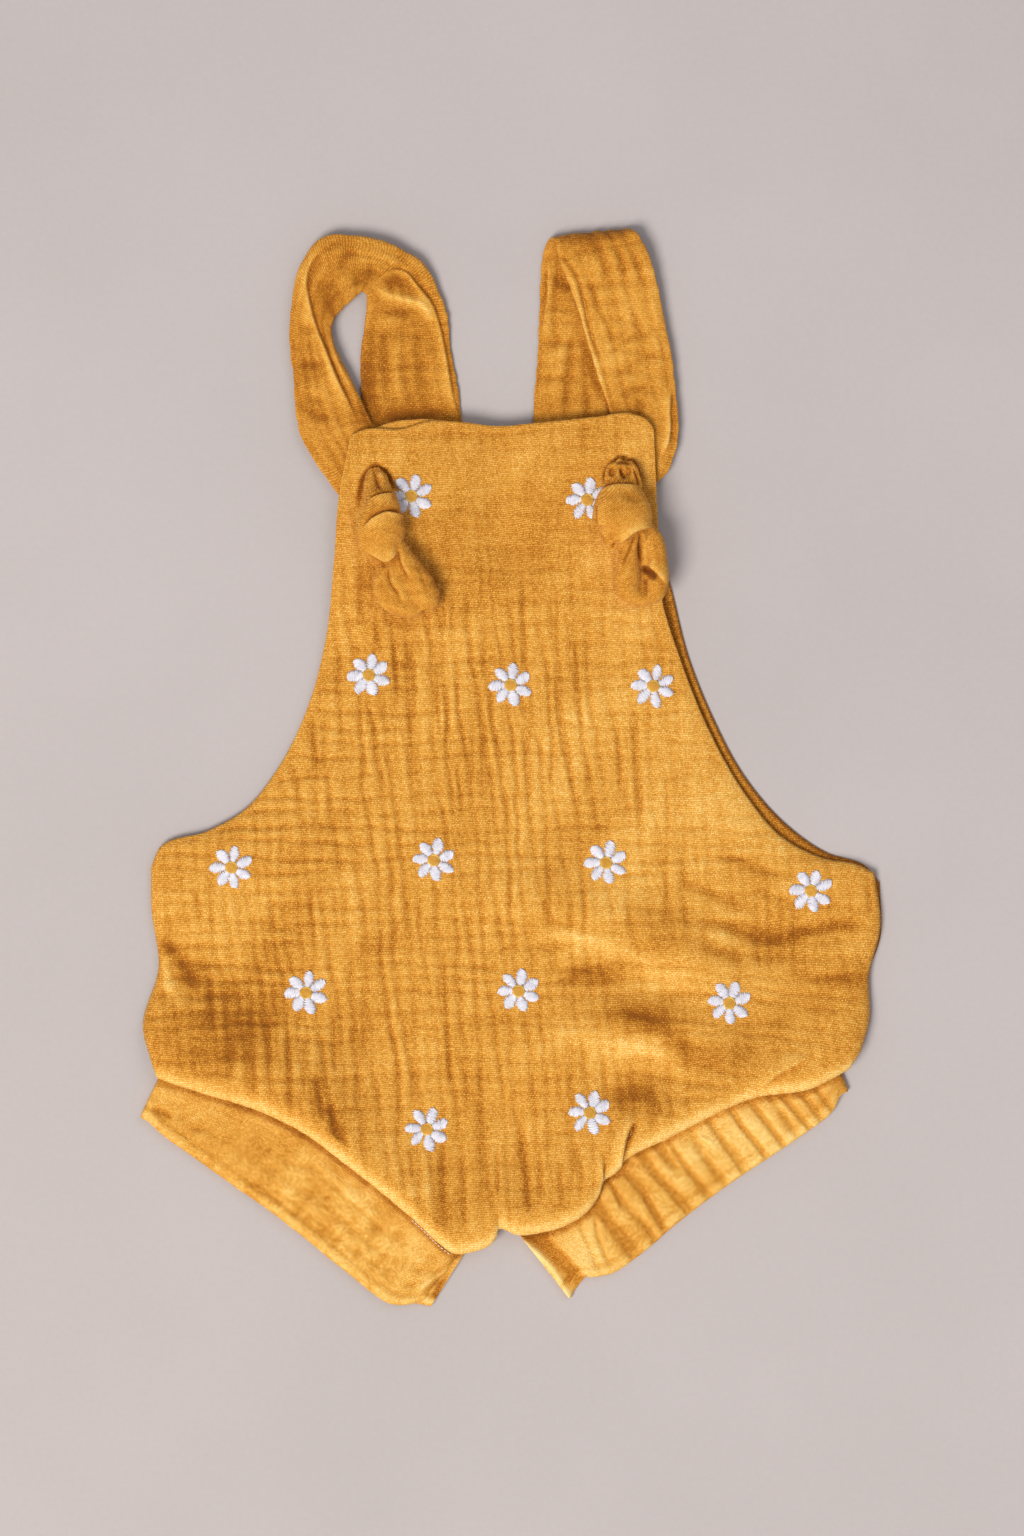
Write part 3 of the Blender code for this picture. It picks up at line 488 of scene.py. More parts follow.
# painted light and shade on the straps: shade under the bib's edge, in the pockets and on fold tops
# turned from the light, light where a strap faces it
STRAP_PAINTED_LIGHT_AND_SHADE = (
    # x, y, reach x, reach y, gain
    (36, 223, 24, 8, -0.4), (46, 186, 18, 24, 0.4), (-84, 178, 16, 32, -0.35),
    (-44, 166, 22, 28, -0.35), (22, 200, 6, 9, -0.45), (-73, 197, 8, 10, -0.2), (-80, 218, 10, 6, -0.5),
    (-46, 204, 9, 4, -0.2), (-61, 156, 5, 24, -0.7), (-42, 147, 24, 5, -0.6), (25, 150, 24, 5, -0.3),
)

BAND_LEFT_CREASES = (
    # half width, depth, points
    (1.1, 1.3, (-20.5, -205), (-28, -209.5), (-34, -215)),
    (1.8, -1, (-22, -205), (-31, -213), (-41, -222)),
    (1.2, 1.2, (-26.5, -212), (-32.5, -217), (-37.5, -221)),
    (1, 1, (-28.5, -216), (-32, -220), (-34.6, -225.5)),
    (1.6, 1.3, (-151, -142.5), (-146, -144.5), (-140.5, -147.5)),
    (1.6, 0.5, (-136, -151), (-130, -152), (-124, -150)),
    (1.6, 0.6, (-92, -166), (-85, -167.5), (-80, -165)),
    (1.6, 0.5, (-128, -146), (-132, -154)),
    (1.8, -0.6, (-90, -160), (-76, -171), (-62, -184), (-50, -194)),
    (1.1, 0.3, (-102, -184), (-95, -174)),
    (1.1, 0.4, (-92, -191), (-85, -181.5), (-80, -176)),
    (1, 0.35, (-84, -197), (-75, -185.5)),
    (1.1, 0.45, (-76, -203), (-68, -192), (-62, -184)),
    (1, 0.4, (-68, -209.5), (-60, -199), (-55, -191)),
    (1.1, 0.45, (-60.5, -215), (-53, -205.5), (-47, -197)),
    (1, 0.4, (-53, -220), (-46, -210.5), (-41, -203)),
    (1, 0.35, (-104, -174), (-90, -183), (-76, -194), (-62, -205.5)),
    (1, 0.3, (-84, -179), (-70, -190), (-56, -202), (-45, -211.5)),
    (1, 0.3, (-70, -179), (-58, -190), (-45, -202)),
)
BAND_LEFT_DIMPLES = (
    # x, y, reach x, reach y, gain
    (-134, -159, 3, 1.5, -0.6), (-126, -166.5, 3.2, 1.8, -0.6), (-120, -170, 2, 1.4, -0.5),
    (-115.5, -172.5, 3, 1.5, -0.6), (-109, -175.5, 3, 1.6, -0.8), (-103, -179, 2.8, 1.5, -0.6),
    (-97, -182, 2.6, 1.5, -0.7), (-90, -187, 2.6, 1.9, -0.7), (-84.5, -189.5, 2.4, 1.6, -0.6),
    (-78, -194.5, 2.8, 1.9, -0.8), (-73.5, -198, 2.2, 1.8, -0.6), (-64, -203.5, 2.6, 2.2, -0.8),
    (-57.5, -207.5, 3, 2.2, -0.8), (-51.5, -211.5, 2.2, 2.8, -0.7), (-42.5, -217, 2.8, 2, -0.7),
    (-65, -212.5, 1.4, 2.2, -0.5), (-59, -217.5, 2.6, 2.2, -0.4), (-47.5, -207.5, 2.2, 2, -0.6),
    (-58.5, -201.5, 2, 1.6, -0.5), (-66, -195, 2.6, 1.8, -0.4), (-56, -193.5, 2.8, 2, -0.6),
    (-47, -196.5, 2.6, 2.2, -0.6), (-72, -190, 3.4, 1.8, -0.7), (-64, -184, 4, 2.4, -0.6),
    (-55.5, -184.5, 2.2, 2.6, -0.6), (-77, -180.5, 2.4, 1.5, -0.6), (-73, -176.5, 2.6, 1.6, -0.4),
    (-85, -178, 2.8, 2, -0.4), (-92, -173, 3, 2, -0.4), (-100, -169, 3, 2, -0.4),
    (-38, -201, 2.6, 2.2, -0.5), (-39, -210, 2.2, 2.4, -0.5), (-83, -168.5, 3.6, 1.8, -0.3),
    (-108, -161, 4, 2.2, -0.3), (-118, -156, 4, 2.2, -0.3), (-140, -141, 4, 2, -0.3),
)
BAND_RIGHT_CREASES = (
    # half width, depth, points
    (1.3, 2.6, (40, -163), (50, -171.5), (54, -176), (60, -186), (69, -201)),
    (2.3, 2.2, (29, -172), (40, -189), (46, -196), (58, -213)),
    (1.1, 1.4, (36, -169), (42.5, -175.5), (48, -187)),
    (1.5, 0.9, (43, -175), (52, -188), (57, -193), (63, -203)),
    (1.9, 1.6, (58, -152), (65.5, -163.5), (72, -171.5)),
    (1.8, 1.9, (51, -157), (63, -173), (69, -179), (81, -194.5)),
    (1.4, 1.6, (64, -153), (74, -168), (79.5, -174.5), (88, -187)),
    (1.8, 1.1, (74, -153), (84, -167), (93, -179)),
    (1.3, 1.9, (78, -140), (88, -155), (94, -163.5), (102, -176.5)),
    (1.1, 2.6, (88, -136), (97, -150), (103, -157.5), (112.5, -170)),
    (1.1, 2.6, (95, -132.5), (106, -147), (111, -153.5), (120, -165.5)),
    (1.5, 1, (103.5, -131), (113.5, -144.5), (122, -157)),
    (1.2, 1.7, (108, -130.5), (118.5, -143), (130.5, -157)),
    (1.4, 1.6, (116, -130), (126, -141.5), (134, -152.5)),
    (1.2, 1.1, (124, -129.5), (133.5, -141.5), (138, -147)),
    (1.2, 0.7, (74, -149.5), (79.5, -158), (83.5, -162)),
    (1.2, 0.7, (91, -156), (98, -165), (103, -172.5)),
    (0.9, 0.9, (35, -185), (36.6, -196), (42.5, -211)),
    (0.9, 0.7, (27.5, -187), (32, -199), (38, -213)),
    (0.7, -0.6, (75.5, -157.5), (80, -155.6), (84.5, -158), (88, -163.5)),
    (1.5, 1.2, (12, -197), (17, -205), (24, -215)),
)
BAND_RIGHT_DIMPLES = (
    # x, y, reach x, reach y, gain
    (51.5, -166.5, 4, 1.8, -0.9), (44, -171, 2.6, 1, -1.1), (33.5, -187, 1.8, 1.8, -1),
    (60.5, -198, 1.4, 1.6, -0.6), (139, -134, 4, 5, -1.2), (138.8, -137.4, 1.2, 1.6, -0.8),
    (75, -184, 2.4, 3, -0.4), (86, -163, 4, 4, -0.3), (74, -155.5, 3, 2.4, -0.5),
)
# creases on the band's back layer, where it shows at the crotch
BAND_LEFT_BENEATH = ((1.6, 1, (-24, -210), (-29, -217), (-33, -225)),)
BAND_RIGHT_BENEATH = (
    (3.6, 1.6, (0, -189), (12, -199), (21, -207), (30, -216.5), (36, -224)),
    (1.4, -0.9, (0, -195), (11, -203.6), (18, -211), (25, -223), (30, -230)),
)
# painted light and shade on the bands: patches where a band is paled or darkened as if lit or shaded
BAND_LEFT_PAINTED_LIGHT_AND_SHADE = (
    # x, y, reach x, reach y, gain
    (-105, -157, 34, 16, -0.4), (-54, -206, 24, 14, 0.3), (-31, -218, 3, 5, -0.5),
)
BAND_RIGHT_PAINTED_LIGHT_AND_SHADE = (
    # x, y, reach x, reach y, gain
    (95, -154, 44, 22, 0.75), (30, -202, 12, 11, 0.9),
)
BAND_DEEPEST = 0.5
BAND_HIGHEST = 1.8
BAND_LIFT = 0.8  # how far the crinkled cloth stands up between hem and seam
HEM_ROLL = 0.4
HEM_TONE = 0.5  # a hem catches the light

# reach and place, from the hem or the panel's edge, of what runs along it
BAND_HEM = (1.6, 2.2)
BAND_HEM_SEAM = (1.1, 5.4)
BAND_HEM_LIGHT = (2.2, 1.2)
BACK_HEM = (0.9, 1.6)
BACK_HEM_SEAM = (0.6, 3.1)
BODY_SHADE_REACH = 2.2

# ----------------------------------------------------------------------- knots and tails
KNOT_LEFT_TUBES = (
    # rows of x, y, z, width, height
    ((-57, 125, 7, 5, 2.4), (-56.6, 122.6, 8.6, 8.4, 3.4), (-56, 118, 10.4, 11.4, 5),
     (-55.2, 113.4, 12.4, 12.4, 7.4), (-54.6, 108, 13.8, 13, 9)),
    ((-54, 115.6, 12, 11.4, 6), (-54, 111, 13.4, 14.6, 9.4), (-54.2, 105, 14.4, 18.6, 12.2),
     (-54.4, 99, 14.6, 21.4, 13.4), (-54, 93.6, 14, 19.6, 12.4), (-52.4, 88.6, 13, 13.4, 9.6),
     (-51.4, 85.8, 12, 6, 6)),
    ((-47.4, 93.6, 13, 6, 7), (-44.8, 88, 13.2, 8.6, 8), (-41.4, 82, 13, 10.4, 8.4),
     (-37.8, 76, 12.8, 12, 8.4), (-35.2, 70, 12.4, 11.6, 7.8), (-35.6, 65.6, 11.6, 8, 5)),
    ((-49.6, 86.6, 12.6, 6, 6), (-51.8, 81, 12.4, 9.8, 7.4), (-51.8, 75.6, 12.2, 12, 8),
     (-48.8, 70.6, 12, 12.6, 8), (-44, 67.2, 11.8, 10.6, 7), (-39.4, 65.4, 11.4, 7.6, 5.2)),
    ((-48, 88, 11.8, 6, 6), (-47, 81, 11.8, 8, 7.2), (-45, 74, 11.8, 10.4, 7.6),
     (-41, 67.6, 11.6, 9.6, 6.8), (-37.6, 65, 11.2, 6, 5)),
)
KNOT_LEFT_CREASES = (
    # half width, depth, points
    (0.7, 1.1, (-57.6, 125.4), (-56.2, 121.6), (-55.2, 118.2), (-52.6, 115.4)),
    (1, -0.5, (-54.6, 124.4), (-53.6, 121), (-52.4, 118.4)),
    (0.5, 0.9, (-43.6, 105.4), (-51.8, 107), (-57, 105), (-62, 99.8)),
    (0.5, 0.9, (-48.4, 115), (-54.3, 114.4), (-58.8, 112.6)),
    (0.7, 0.9, (-46.2, 93), (-46.7, 88), (-45, 83), (-41.6, 77)),
    (0.6, 0.7, (-50.6, 84.6), (-49.8, 78), (-46.8, 73), (-44.6, 67.6)),
    (0.6, 0.7, (-54.6, 85), (-52, 83.6)),
    (1.2, 0.5, (-56.6, 122), (-56, 118), (-55.4, 114.6)),
    (1.1, 0.4, (-40, 86), (-36.6, 79), (-34.4, 72)),
    (1.4, 0.4, (-54, 80), (-53, 74), (-49, 69.4)),
)
KNOT_LEFT_LIPS = (
    # half width, height, points
    (4, 0.9, (-43, 104.6), (-51.8, 106.4), (-56.8, 104.3), (-62.6, 98.6)),
    (3, 0.9, (-48, 114.6), (-54.3, 113.8), (-59.2, 111.8)),
    (3.4, 0.9, (-61, 90), (-57, 88), (-51.8, 85.6), (-48.6, 87.6), (-45.6, 92.6)),
    (2.6, 0.7, (-46.2, 93.4), (-46.7, 88), (-45, 83), (-41.6, 76.4)),
    (2.4, 0.6, (-50.6, 85), (-49.8, 78), (-46.8, 73), (-44.4, 67)),
)
KNOT_RIGHT_TUBES = (
    # rows of x, y, z, width, height
    ((46.6, 127.6, 7.2, 7, 2.6), (46.6, 125, 9, 11, 4.2), (46.6, 121, 10.8, 12.4, 5.6),
     (46.4, 116.6, 13, 14.6, 8.6)),
    ((41.4, 117.6, 10.8, 3.4, 3.4), (41, 121.4, 11.6, 3.8, 3.6), (41.8, 124.6, 11.6, 3.6, 3.2),
     (44.6, 126.4, 11, 3.4, 3), (46.4, 128.6, 9.6, 2.6, 2.6)),
    ((44.6, 118.6, 12, 3, 3), (44.8, 122, 12.6, 3.2, 3.2), (46.4, 124.8, 12.2, 3.2, 3),
     (49, 125, 11.8, 3, 2.8)),
    ((49.6, 127.6, 9.8, 3, 2.6), (51, 124.4, 11.6, 4.2, 3.8), (52.4, 120.6, 12.4, 4.4, 4.2),
     (53, 116.6, 12.8, 4.8, 4.6)),
    ((45.8, 118.6, 12, 12.6, 6), (46, 115, 13.4, 18.4, 9.4), (46.2, 109.6, 14.8, 23.2, 12.6),
     (46.6, 104, 15.2, 25.4, 13.6), (46.6, 99.6, 14.6, 23.4, 12.4), (43.4, 96.2, 13.2, 14.4, 9),
     (42.8, 93.2, 12, 7.4, 6.6), (43.4, 91.2, 11.4, 4, 4.6)),
    ((50.6, 98, 12.6, 8, 7), (50, 92, 13, 9, 8), (49.4, 86, 13, 9.8, 8.6), (49, 79.6, 12.8, 11.2, 9),
     (49.8, 73.8, 12.4, 11, 8.2), (53.4, 70.6, 12, 7, 6)),
    ((57, 100, 12.4, 6, 7), (59.8, 95, 13, 8, 8.4), (61.2, 88.6, 13.2, 8.2, 8.6),
     (61.6, 82, 13, 9, 8.4), (61, 76, 12.4, 9.4, 8), (58.4, 71.6, 12, 7.4, 6)),
    ((55, 97, 11.4, 8, 6), (55.2, 88, 11, 9, 6), (55.4, 80, 10.6, 10, 5.6), (55.2, 72.4, 11, 10, 5.6)),
    ((46.4, 73.2, 12, 5.4, 6), (50.6, 70.8, 12, 5.8, 6.2), (56.6, 70.2, 12, 5.8, 6.2),
     (61.8, 72.6, 12.2, 5.8, 6.4), (64, 77.4, 12.4, 4.6, 6.2)),
)
KNOT_RIGHT_CREASES = (
    # half width, depth, points
    (0.6, 0.5, (37.6, 113), (35.9, 106.4), (36.4, 100.5), (38.3, 96.3), (40.6, 93.6)),
    (0.6, 0.6, (53.8, 117.6), (47, 118.4), (41, 117.6), (37.8, 116)),
    (0.8, 1.6, (54.8, 98.6), (54.5, 90), (55.3, 84.4)),
    (1.5, 2.2, (55.2, 84.8), (58, 81.2), (61.6, 78.2)),
    (0.6, 1, (56.2, 80), (56.5, 71.4)),
    (0.6, 1.2, (52.6, 97.4), (50.8, 92.8), (48, 87.6), (46.4, 83)),
    (1.3, 1.1, (42.5, 126), (42.2, 123.6), (42.4, 121)),
    (0.8, 1.6, (45.6, 126.2), (46.3, 124.2), (47, 122.4), (48.6, 120.4)),
    (0.7, 0.9, (49, 126.4), (49.6, 123.8), (49.2, 121.4)),
    (0.8, 1.6, (51.4, 125.8), (52.2, 123.6), (53, 121), (54.2, 116.6)),
    (0.7, 1, (43.6, 127.2), (47.6, 127.6), (51, 126.8)),
    (0.9, 1.8, (42.4, 92.8), (43.4, 92)),
    (2.4, 0.4, (44, 113.6), (50, 112.6), (56, 109.4)),
    (1.4, 0.4, (60.4, 96), (61.8, 88), (61.6, 82.6)),
)
KNOT_RIGHT_LIPS = (
    # half width, height, points
    (3, 0.5, (38, 114), (35.9, 106.4), (36.4, 100.5), (38.3, 96.3), (41, 93.2)),
    (3.2, 0.9, (55, 117), (47, 118.4), (41, 117.6), (36.6, 115.2)),
    (4, 1, (45.6, 92.6), (48, 94.6), (52.1, 97.8), (59.6, 100.4)),
    (2.8, 0.7, (54.8, 99), (54.5, 90), (55.3, 84)),
    (2.8, 1, (54.6, 85.2), (58.6, 82.2), (62.5, 79.2), (65.4, 75.8)),
)
KNOT_VOXEL = 0.42
KNOT_SMOOTHING = 8
KNOT_CLOTH = 1.2  # how much closer a knot's threads lie, pulled tight
KNOT_GRAIN = ((0.8, 0.55, 0.3), (-0.55, 0.8, 0.5))  # the cloth runs aslant through it

# ------------------------------------------------------------------------- the embroidery
DAISIES = (
    # x, y, turn in degrees
    (-41.5, 113.4, -15), (32.2, 111.9, -10), (-59.3, 38.6, -11), (0.1, 34.4, -12), (59.9, 34, -15),
    (-116.9, -42, -14), (-32.1, -39, -18), (40.1, -40.1, -15), (125.9, -51.8, -19), (-85.7, -94.5, -10),
    (3.4, -93.8, -11), (91.7, -98.8, -23), (-35, -151.6, -19), (33.3, -144.7, -15),
)
PETALS = 7
PETAL_FROM = 2.45
PETAL_TO = 9.1
PETAL_STITCHES = 16
PETAL_HALF_WIDTH = 2.2
PETAL_ROOT = 0.58  # share of the half width where a petal starts
PETAL_TIP_FROM, PETAL_TIP = 0.56, 0.46  # where a petal starts to round off, and over what
PETAL_LENGTHS = (0.94, 1.03)
PETAL_WIDTHS = (0.9, 1.08)
PETAL_TURN = 3.0  # degrees off its place at most
PETAL_RAGGED = 0.3
STITCH_SLANT = 0.7
STITCH_POINTS = 5
STITCH_LIFT, STITCH_ARCH = 0.12, 0.55  # height of a stitch's ends, and its middle above them
CENTRE_RADIUS = 2.6
CENTRE_STITCHES = 12
CENTRE_LIFT, CENTRE_ARCH = 0.35, 0.6
RIM_STITCHES = 32
RIM_INSIDE = 0.75
RIM_OUTSIDE = (0.05, 0.35)
RIM_LIFTS = (0.8, 0.72, 0.25)
SEAM_STITCH_LINE = ((-41.2, -190), (-36, -194.8), (-30.4, -200.4), (-25, -204.6))
SEAM_STITCHES = 13


# ---------------------------------------------------------------------------- mathematics
def bell(distance, reach, place=0.0):
    """1 at a place, falling smoothly to almost 0 at twice the reach from it."""
    return np.exp(-(((distance - place) / reach) ** 2))


def rise(distance, reach):
    """0 at an edge, rounding up to 1 at reach from it."""
    inward = 1 - np.clip(distance / reach, 0, 1)
    return np.sqrt(1 - inward**2)


def ease(low, high, value):
    """0 below low and 1 above high, smooth between."""
    t = np.clip((value - low) / (high - low), 0, 1)
    return t * t * (3 - 2 * t)


def length(vectors):
    """The length of each vector, kept as a last axis of one."""
    return np.linalg.norm(vectors, axis=-1, keepdims=True)


def distances(points):
    """How far along its own line each point lies."""
    steps = np.linalg.norm(np.diff(points, axis=0), axis=1)
    return np.concatenate([[0.0], np.cumsum(steps)])


def smooth(where, rows, at):
    """The rows, read at other places along them, on cubic pieces that join smoothly."""
    where = np.asarray(where, float)
    rows = np.asarray(rows, float)
    slopes = np.gradient(rows, where, axis=0)
    low = np.clip(np.searchsorted(where, at, side="right") - 1, 0, len(where) - 2)
    shape = (-1,) + (1,) * (rows.ndim - 1)
    step = (where[low + 1] - where[low]).reshape(shape)
    t = (np.asarray(at) - where[low]).reshape(shape) / step
    return (
        (2 * t**3 - 3 * t**2 + 1) * rows[low]
        + (t**3 - 2 * t**2 + t) * step * slopes[low]
        + (3 * t**2 - 2 * t**3) * rows[low + 1]
        + (t**3 - t**2) * step * slopes[low + 1]
    )


def curve(points, count):
    """Points evenly spaced on a smooth curve through the given ones."""
    points = np.asarray(points, float)
    where = distances(points)
    fine = smooth(where, points, np.linspace(0, where[-1], CURVE_FINENESS * len(points)))
    along = distances(fine)
    even = np.linspace(0, along[-1], count)
    return np.stack([np.interp(even, along, fine[:, i]) for i in range(fine.shape[1])], 1)


def patch(bottom, top, left, right):
    """A plan grid between four edges, rows from the bottom up."""
    up = (distances(left) / distances(left)[-1] + distances(right) / distances(right)[-1]) / 2
    up = up[:, None, None]
    across = np.linspace(0, 1, len(bottom))[None, :, None]
    ends = (1 - up) * bottom[None] + up * top[None]
    sides = (1 - across) * left[:, None] + across * right[:, None]
    corners = (1 - up) * ((1 - across) * bottom[0] + across * bottom[-1])
    corners = corners + up * ((1 - across) * top[0] + across * top[-1])
    return ends + sides - corners


def flared(line, first, last):
    """The line with its ends drawn to first and last, easing over FLARE_REACH."""
    from_first = bell(distances(line), FLARE_REACH)[:, None]
    from_last = bell(distances(line[::-1])[::-1], FLARE_REACH)[:, None]
    return line + (first - line[0]) * from_first + (last - line[-1]) * from_last


def edge_pair(side, armhole, side_rows, armhole_rows):
    """One long edge of a panel: up the side seam, then round the armhole."""
    lower = curve(side, side_rows + 1)
    upper = curve(armhole, armhole_rows + 1)
    return np.concatenate([lower, upper[1:]])


def panel_plan(columns, top, left, right):
    """The line that a panel's lower edge rolls from, and the plan grid that starts inside it."""
    seam = curve(FRONT_BOTTOM, columns + 1)
    raised = flared(seam + (0, ROLL_INSET), left[0], right[0])
    return seam, patch(raised, curve(top, columns + 1), left, right)


def from_sides(plan):
    """How far each place of a plan grid lies from the nearer of its two long edges."""
    return np.minimum(length(plan - plan[:, :1]), length(plan - plan[:, -1:]))[..., 0]


def fold_height(x, y):
    """What the large folds add to the front panel's height."""
    total = np.zeros_like(x)
    for x0, y0, x1, y1, bow, half_width, height in FRONT_FOLDS:
        span = math.hypot(x1 - x0, y1 - y0)
        along_x, along_y = (x1 - x0) / span, (y1 - y0) / span
        t = ((x - x0) * along_x + (y - y0) * along_y) / span
        aside = (y - y0) * along_x - (x - x0) * along_y - bow * 4 * t * (1 - t)
        inside = np.minimum(t, 1 - t) + FOLD_OVERRUN
        total += height * ease(0, FOLD_FADE, inside) * bell(aside, half_width)
    return total


def front_underside(x, y, inward, above):
    """Height of the front panel's inner face."""
    levels = np.asarray(FRONT_HEIGHTS)
    edge = np.interp(y, levels[:, 0], levels[:, 1])
    crown = np.interp(y, levels[:, 0], levels[:, 2])
    crown = crown + PUFF * bell(above, PUFF_REACH) + fold_height(x, y)
    return edge + (crown - edge) * inward


def grid_normals(grid):
    """Unit normals of a grid of points, to the side where its rows turn left."""
    normal = np.cross(np.gradient(grid, axis=1), np.gradient(grid, axis=0))
    return normal / np.maximum(length(normal), 1e-9)


def tube_normals(tube):
    """Unit normals of a tube's rings, facing out."""
    padded = np.concatenate([tube[:, -1:], tube, tube[:, :1]], axis=1)
    normals = grid_normals(padded)[:, 1:-1]
    outward = np.sum(normals * (tube - tube.mean(axis=1, keepdims=True)), axis=2)
    return normals * np.sign(outward.mean())


# ---------------------------------------------------------------------- the cloth's relief
def beside(x, y, points, reach):
    """Which places lie near a line, how far to its left they are, and how much of it is left."""
    points = np.asarray(points, float)
    if len(points) > 2:
        points = curve(points, CREASE_FINENESS * len(points))
    near = np.ones(x.shape, bool)
    for values, axis in ((x, 0), (y, 1)):
        near &= values > points[:, axis].min() - reach
        near &= values < points[:, axis].max() + reach
    at = np.stack([x[near], y[near]], 1)
    along = distances(points)
    nearest = np.full(len(at), np.inf)
    side = np.ones(len(at))
    place = np.zeros(len(at))
    for start, end, before, after in zip(points, points[1:], along, along[1:]):
        step = end - start
        t = np.clip((at - start) @ step / (step @ step), 0, 1)
        away = at - start - t[:, None] * step
        gap = np.linalg.norm(away, axis=1)
        closer = gap < nearest
        nearest = np.where(closer, gap, nearest)
        side = np.where(closer, np.sign(step[0] * away[:, 1] - step[1] * away[:, 0]), side)
        place = np.where(closer, before + t * (after - before), place)
    taper = ease(0, 1, np.minimum(place, along[-1] - place) / (CREASE_TAPER * along[-1]))
    return near, nearest * side, taper


def creased(x, y, table):
    """What a table of creases takes from the height at each place."""
    total = np.zeros(x.shape)
    for half_width, depth, *points in table:
        near, left, taper = beside(x, y, points, CREASE_REACH * half_width)
        total[near] -= depth * taper * bell(left, half_width)
    return total


def lipped(x, y, table):
    """Cloth edges and folded layers: raised to the left of each line, steep on its right."""
    total = np.zeros(x.shape)
    for half_width, height, *points in table:
        near, left, taper = beside(x, y, points, CREASE_REACH * half_width)
        raised = bell(np.maximum(left, 0), half_width)
        hollow = LIP_HOLLOW * bell(left, LIP_DROP, -LIP_DROP)
        crack = LIP_CRACK * bell(left, LIP_ROUND, -LIP_ROUND)
        rounded = ease(-LIP_ROUND, LIP_ROUND, left)
        total[near] += height * taper * (raised * rounded - hollow * (1 - rounded) - crack)
    return total


def slow_waves(rng, along, table):
    """A sum of waves, each a share at a wavelength and a phase drawn by chance."""
    total = 0.0
    for share, low, high in table:
        wave, phase = rng.uniform(low, high), rng.uniform(0, 2 * math.pi)
        total = total + share * np.sin(2 * math.pi * along / wave + phase)
    return total


def furrows(across, along, spacing, half_width, depth, seed):
    """Long narrow furrows beside each other, wandering and fading, the cloth puffed between."""
    rng = np.random.default_rng(seed)
    total = np.zeros(across.shape)
    place = across.min()
    while place < across.max():
        middle = place + spacing * slow_waves(rng, along, WANDER)
        strength = rng.uniform(*FURROW_STRENGTH) + slow_waves(rng, along, FADE)
        aside = np.abs(across - middle) / (half_width * rng.uniform(*FURROW_WIDTH))
        shape = PUFFED * bell(aside, PUFFED_REACH, PUFFED_AT) - bell(aside, 1)
        total += depth * np.clip(strength, 0, FURROW_STRONGEST) * shape
        place += spacing * rng.uniform(*FURROW_SPACING)
    return total


def crinkle(fabric, seed, *layers):
    """Furrows along a tube's cloth and then across it: (share, spacing, half width, depth)."""
    across, along = fabric[..., 0], fabric[..., 1]
    (share, *shape), (cross_share, *cross_shape) = layers
    lengthwise = share * furrows(across, along, *shape, seed)
    return lengthwise + cross_share * furrows(along, across, *cross_shape, seed + 1)


def undulation(x, y, seed, share, low, high):
    """A slow uneven swell, about as high and as low as its share."""
    rng = np.random.default_rng(seed)
    total = np.zeros(x.shape)
    for _ in range(SWELL_WAVES):
        heading, wave = rng.uniform(0, math.pi), rng.uniform(low, high)
        phase = rng.uniform(0, 2 * math.pi)
        along = x * math.cos(heading) + y * math.sin(heading)
        total += np.sin(2 * math.pi * along / wave + phase)
    return share * (total / math.sqrt(SWELL_WAVES))


def zones(x, y, base, table):
    """A value that starts at base and is raised or lowered round each place."""
    total = np.full(x.shape, base)
    for x0, y0, reach_x, reach_y, gain in table:
        total += gain * np.exp(-(((x - x0) / reach_x) ** 2) - ((y - y0) / reach_y) ** 2)
    return total


def lowest_near(relief):
    """The lowest relief within one face of an inner wall, so that none pokes through."""
    for axis in (0, 1):
        moved = [np.roll(relief, shift, axis) for shift in range(1 - WALL_STEP, WALL_STEP)]
        relief = np.minimum.reduce(moved)
    return relief


# -------------------------------------------------------------------------------- meshes
def faces_of(rows, columns, wrap):
    """The quads of a grid of points."""
    index = np.arange(rows * columns).reshape(rows, columns)
    right = np.roll(index, -1, axis=1) if wrap else index[:, 1:]
    left = index if wrap else index[:, :-1]
    quads = np.stack([left[:-1], right[:-1], right[1:], left[1:]], axis=-1)
    return quads.reshape(-1, 4)


def loops_of(rows, columns, wrap):
    """The border of a grid of points, as one loop or, on a tube, one at each end."""
    index = np.arange(rows * columns).reshape(rows, columns)
    if wrap:
        return [np.append(index[0], index[0, 0]), np.append(index[-1], index[-1, 0])[::-1]]
    round_it = [index[0], index[1:, -1], index[-1, -2::-1], index[-2::-1, 0]]
    return [np.concatenate(round_it)]


def cloth_map(across, up):
    """Cloth coordinates from two grids, or from a row and a column."""
    return np.stack(np.broadcast_arrays(across, up), axis=-1)


def walled(name, outer, inner, material, fabric, relief, wrap=False):
    """A closed cloth wall: a fine outer face, a coarser inner one and the rim between."""
    rows, columns = outer.shape[:2]
    coarse_rows, coarse_columns = inner.shape[:2]
    first = rows * columns
    faces = faces_of(rows, columns, wrap).tolist()
    hidden = faces_of(coarse_rows, coarse_columns, wrap) + first
    faces += hidden[:, ::-1].tolist()
    for fine, coarse in zip(
        loops_of(rows, columns, wrap), loops_of(coarse_rows, coarse_columns, wrap)
    ):
        for k in range(len(coarse) - 1):
            run = fine[k * WALL_STEP : (k + 1) * WALL_STEP + 1][::-1].tolist()
            faces.append(run + [int(coarse[k]) + first, int(coarse[k + 1]) + first])
    points = np.concatenate([outer.reshape(-1, 3), inner.reshape(-1, 3)])
    flat = np.concatenate([fabric.reshape(-1, 2), fabric[COARSE, COARSE].reshape(-1, 2)])
    height = np.concatenate([relief.ravel(), np.zeros(inner.size // 3)])
    return new_piece(name, points, faces, material, flat, height)


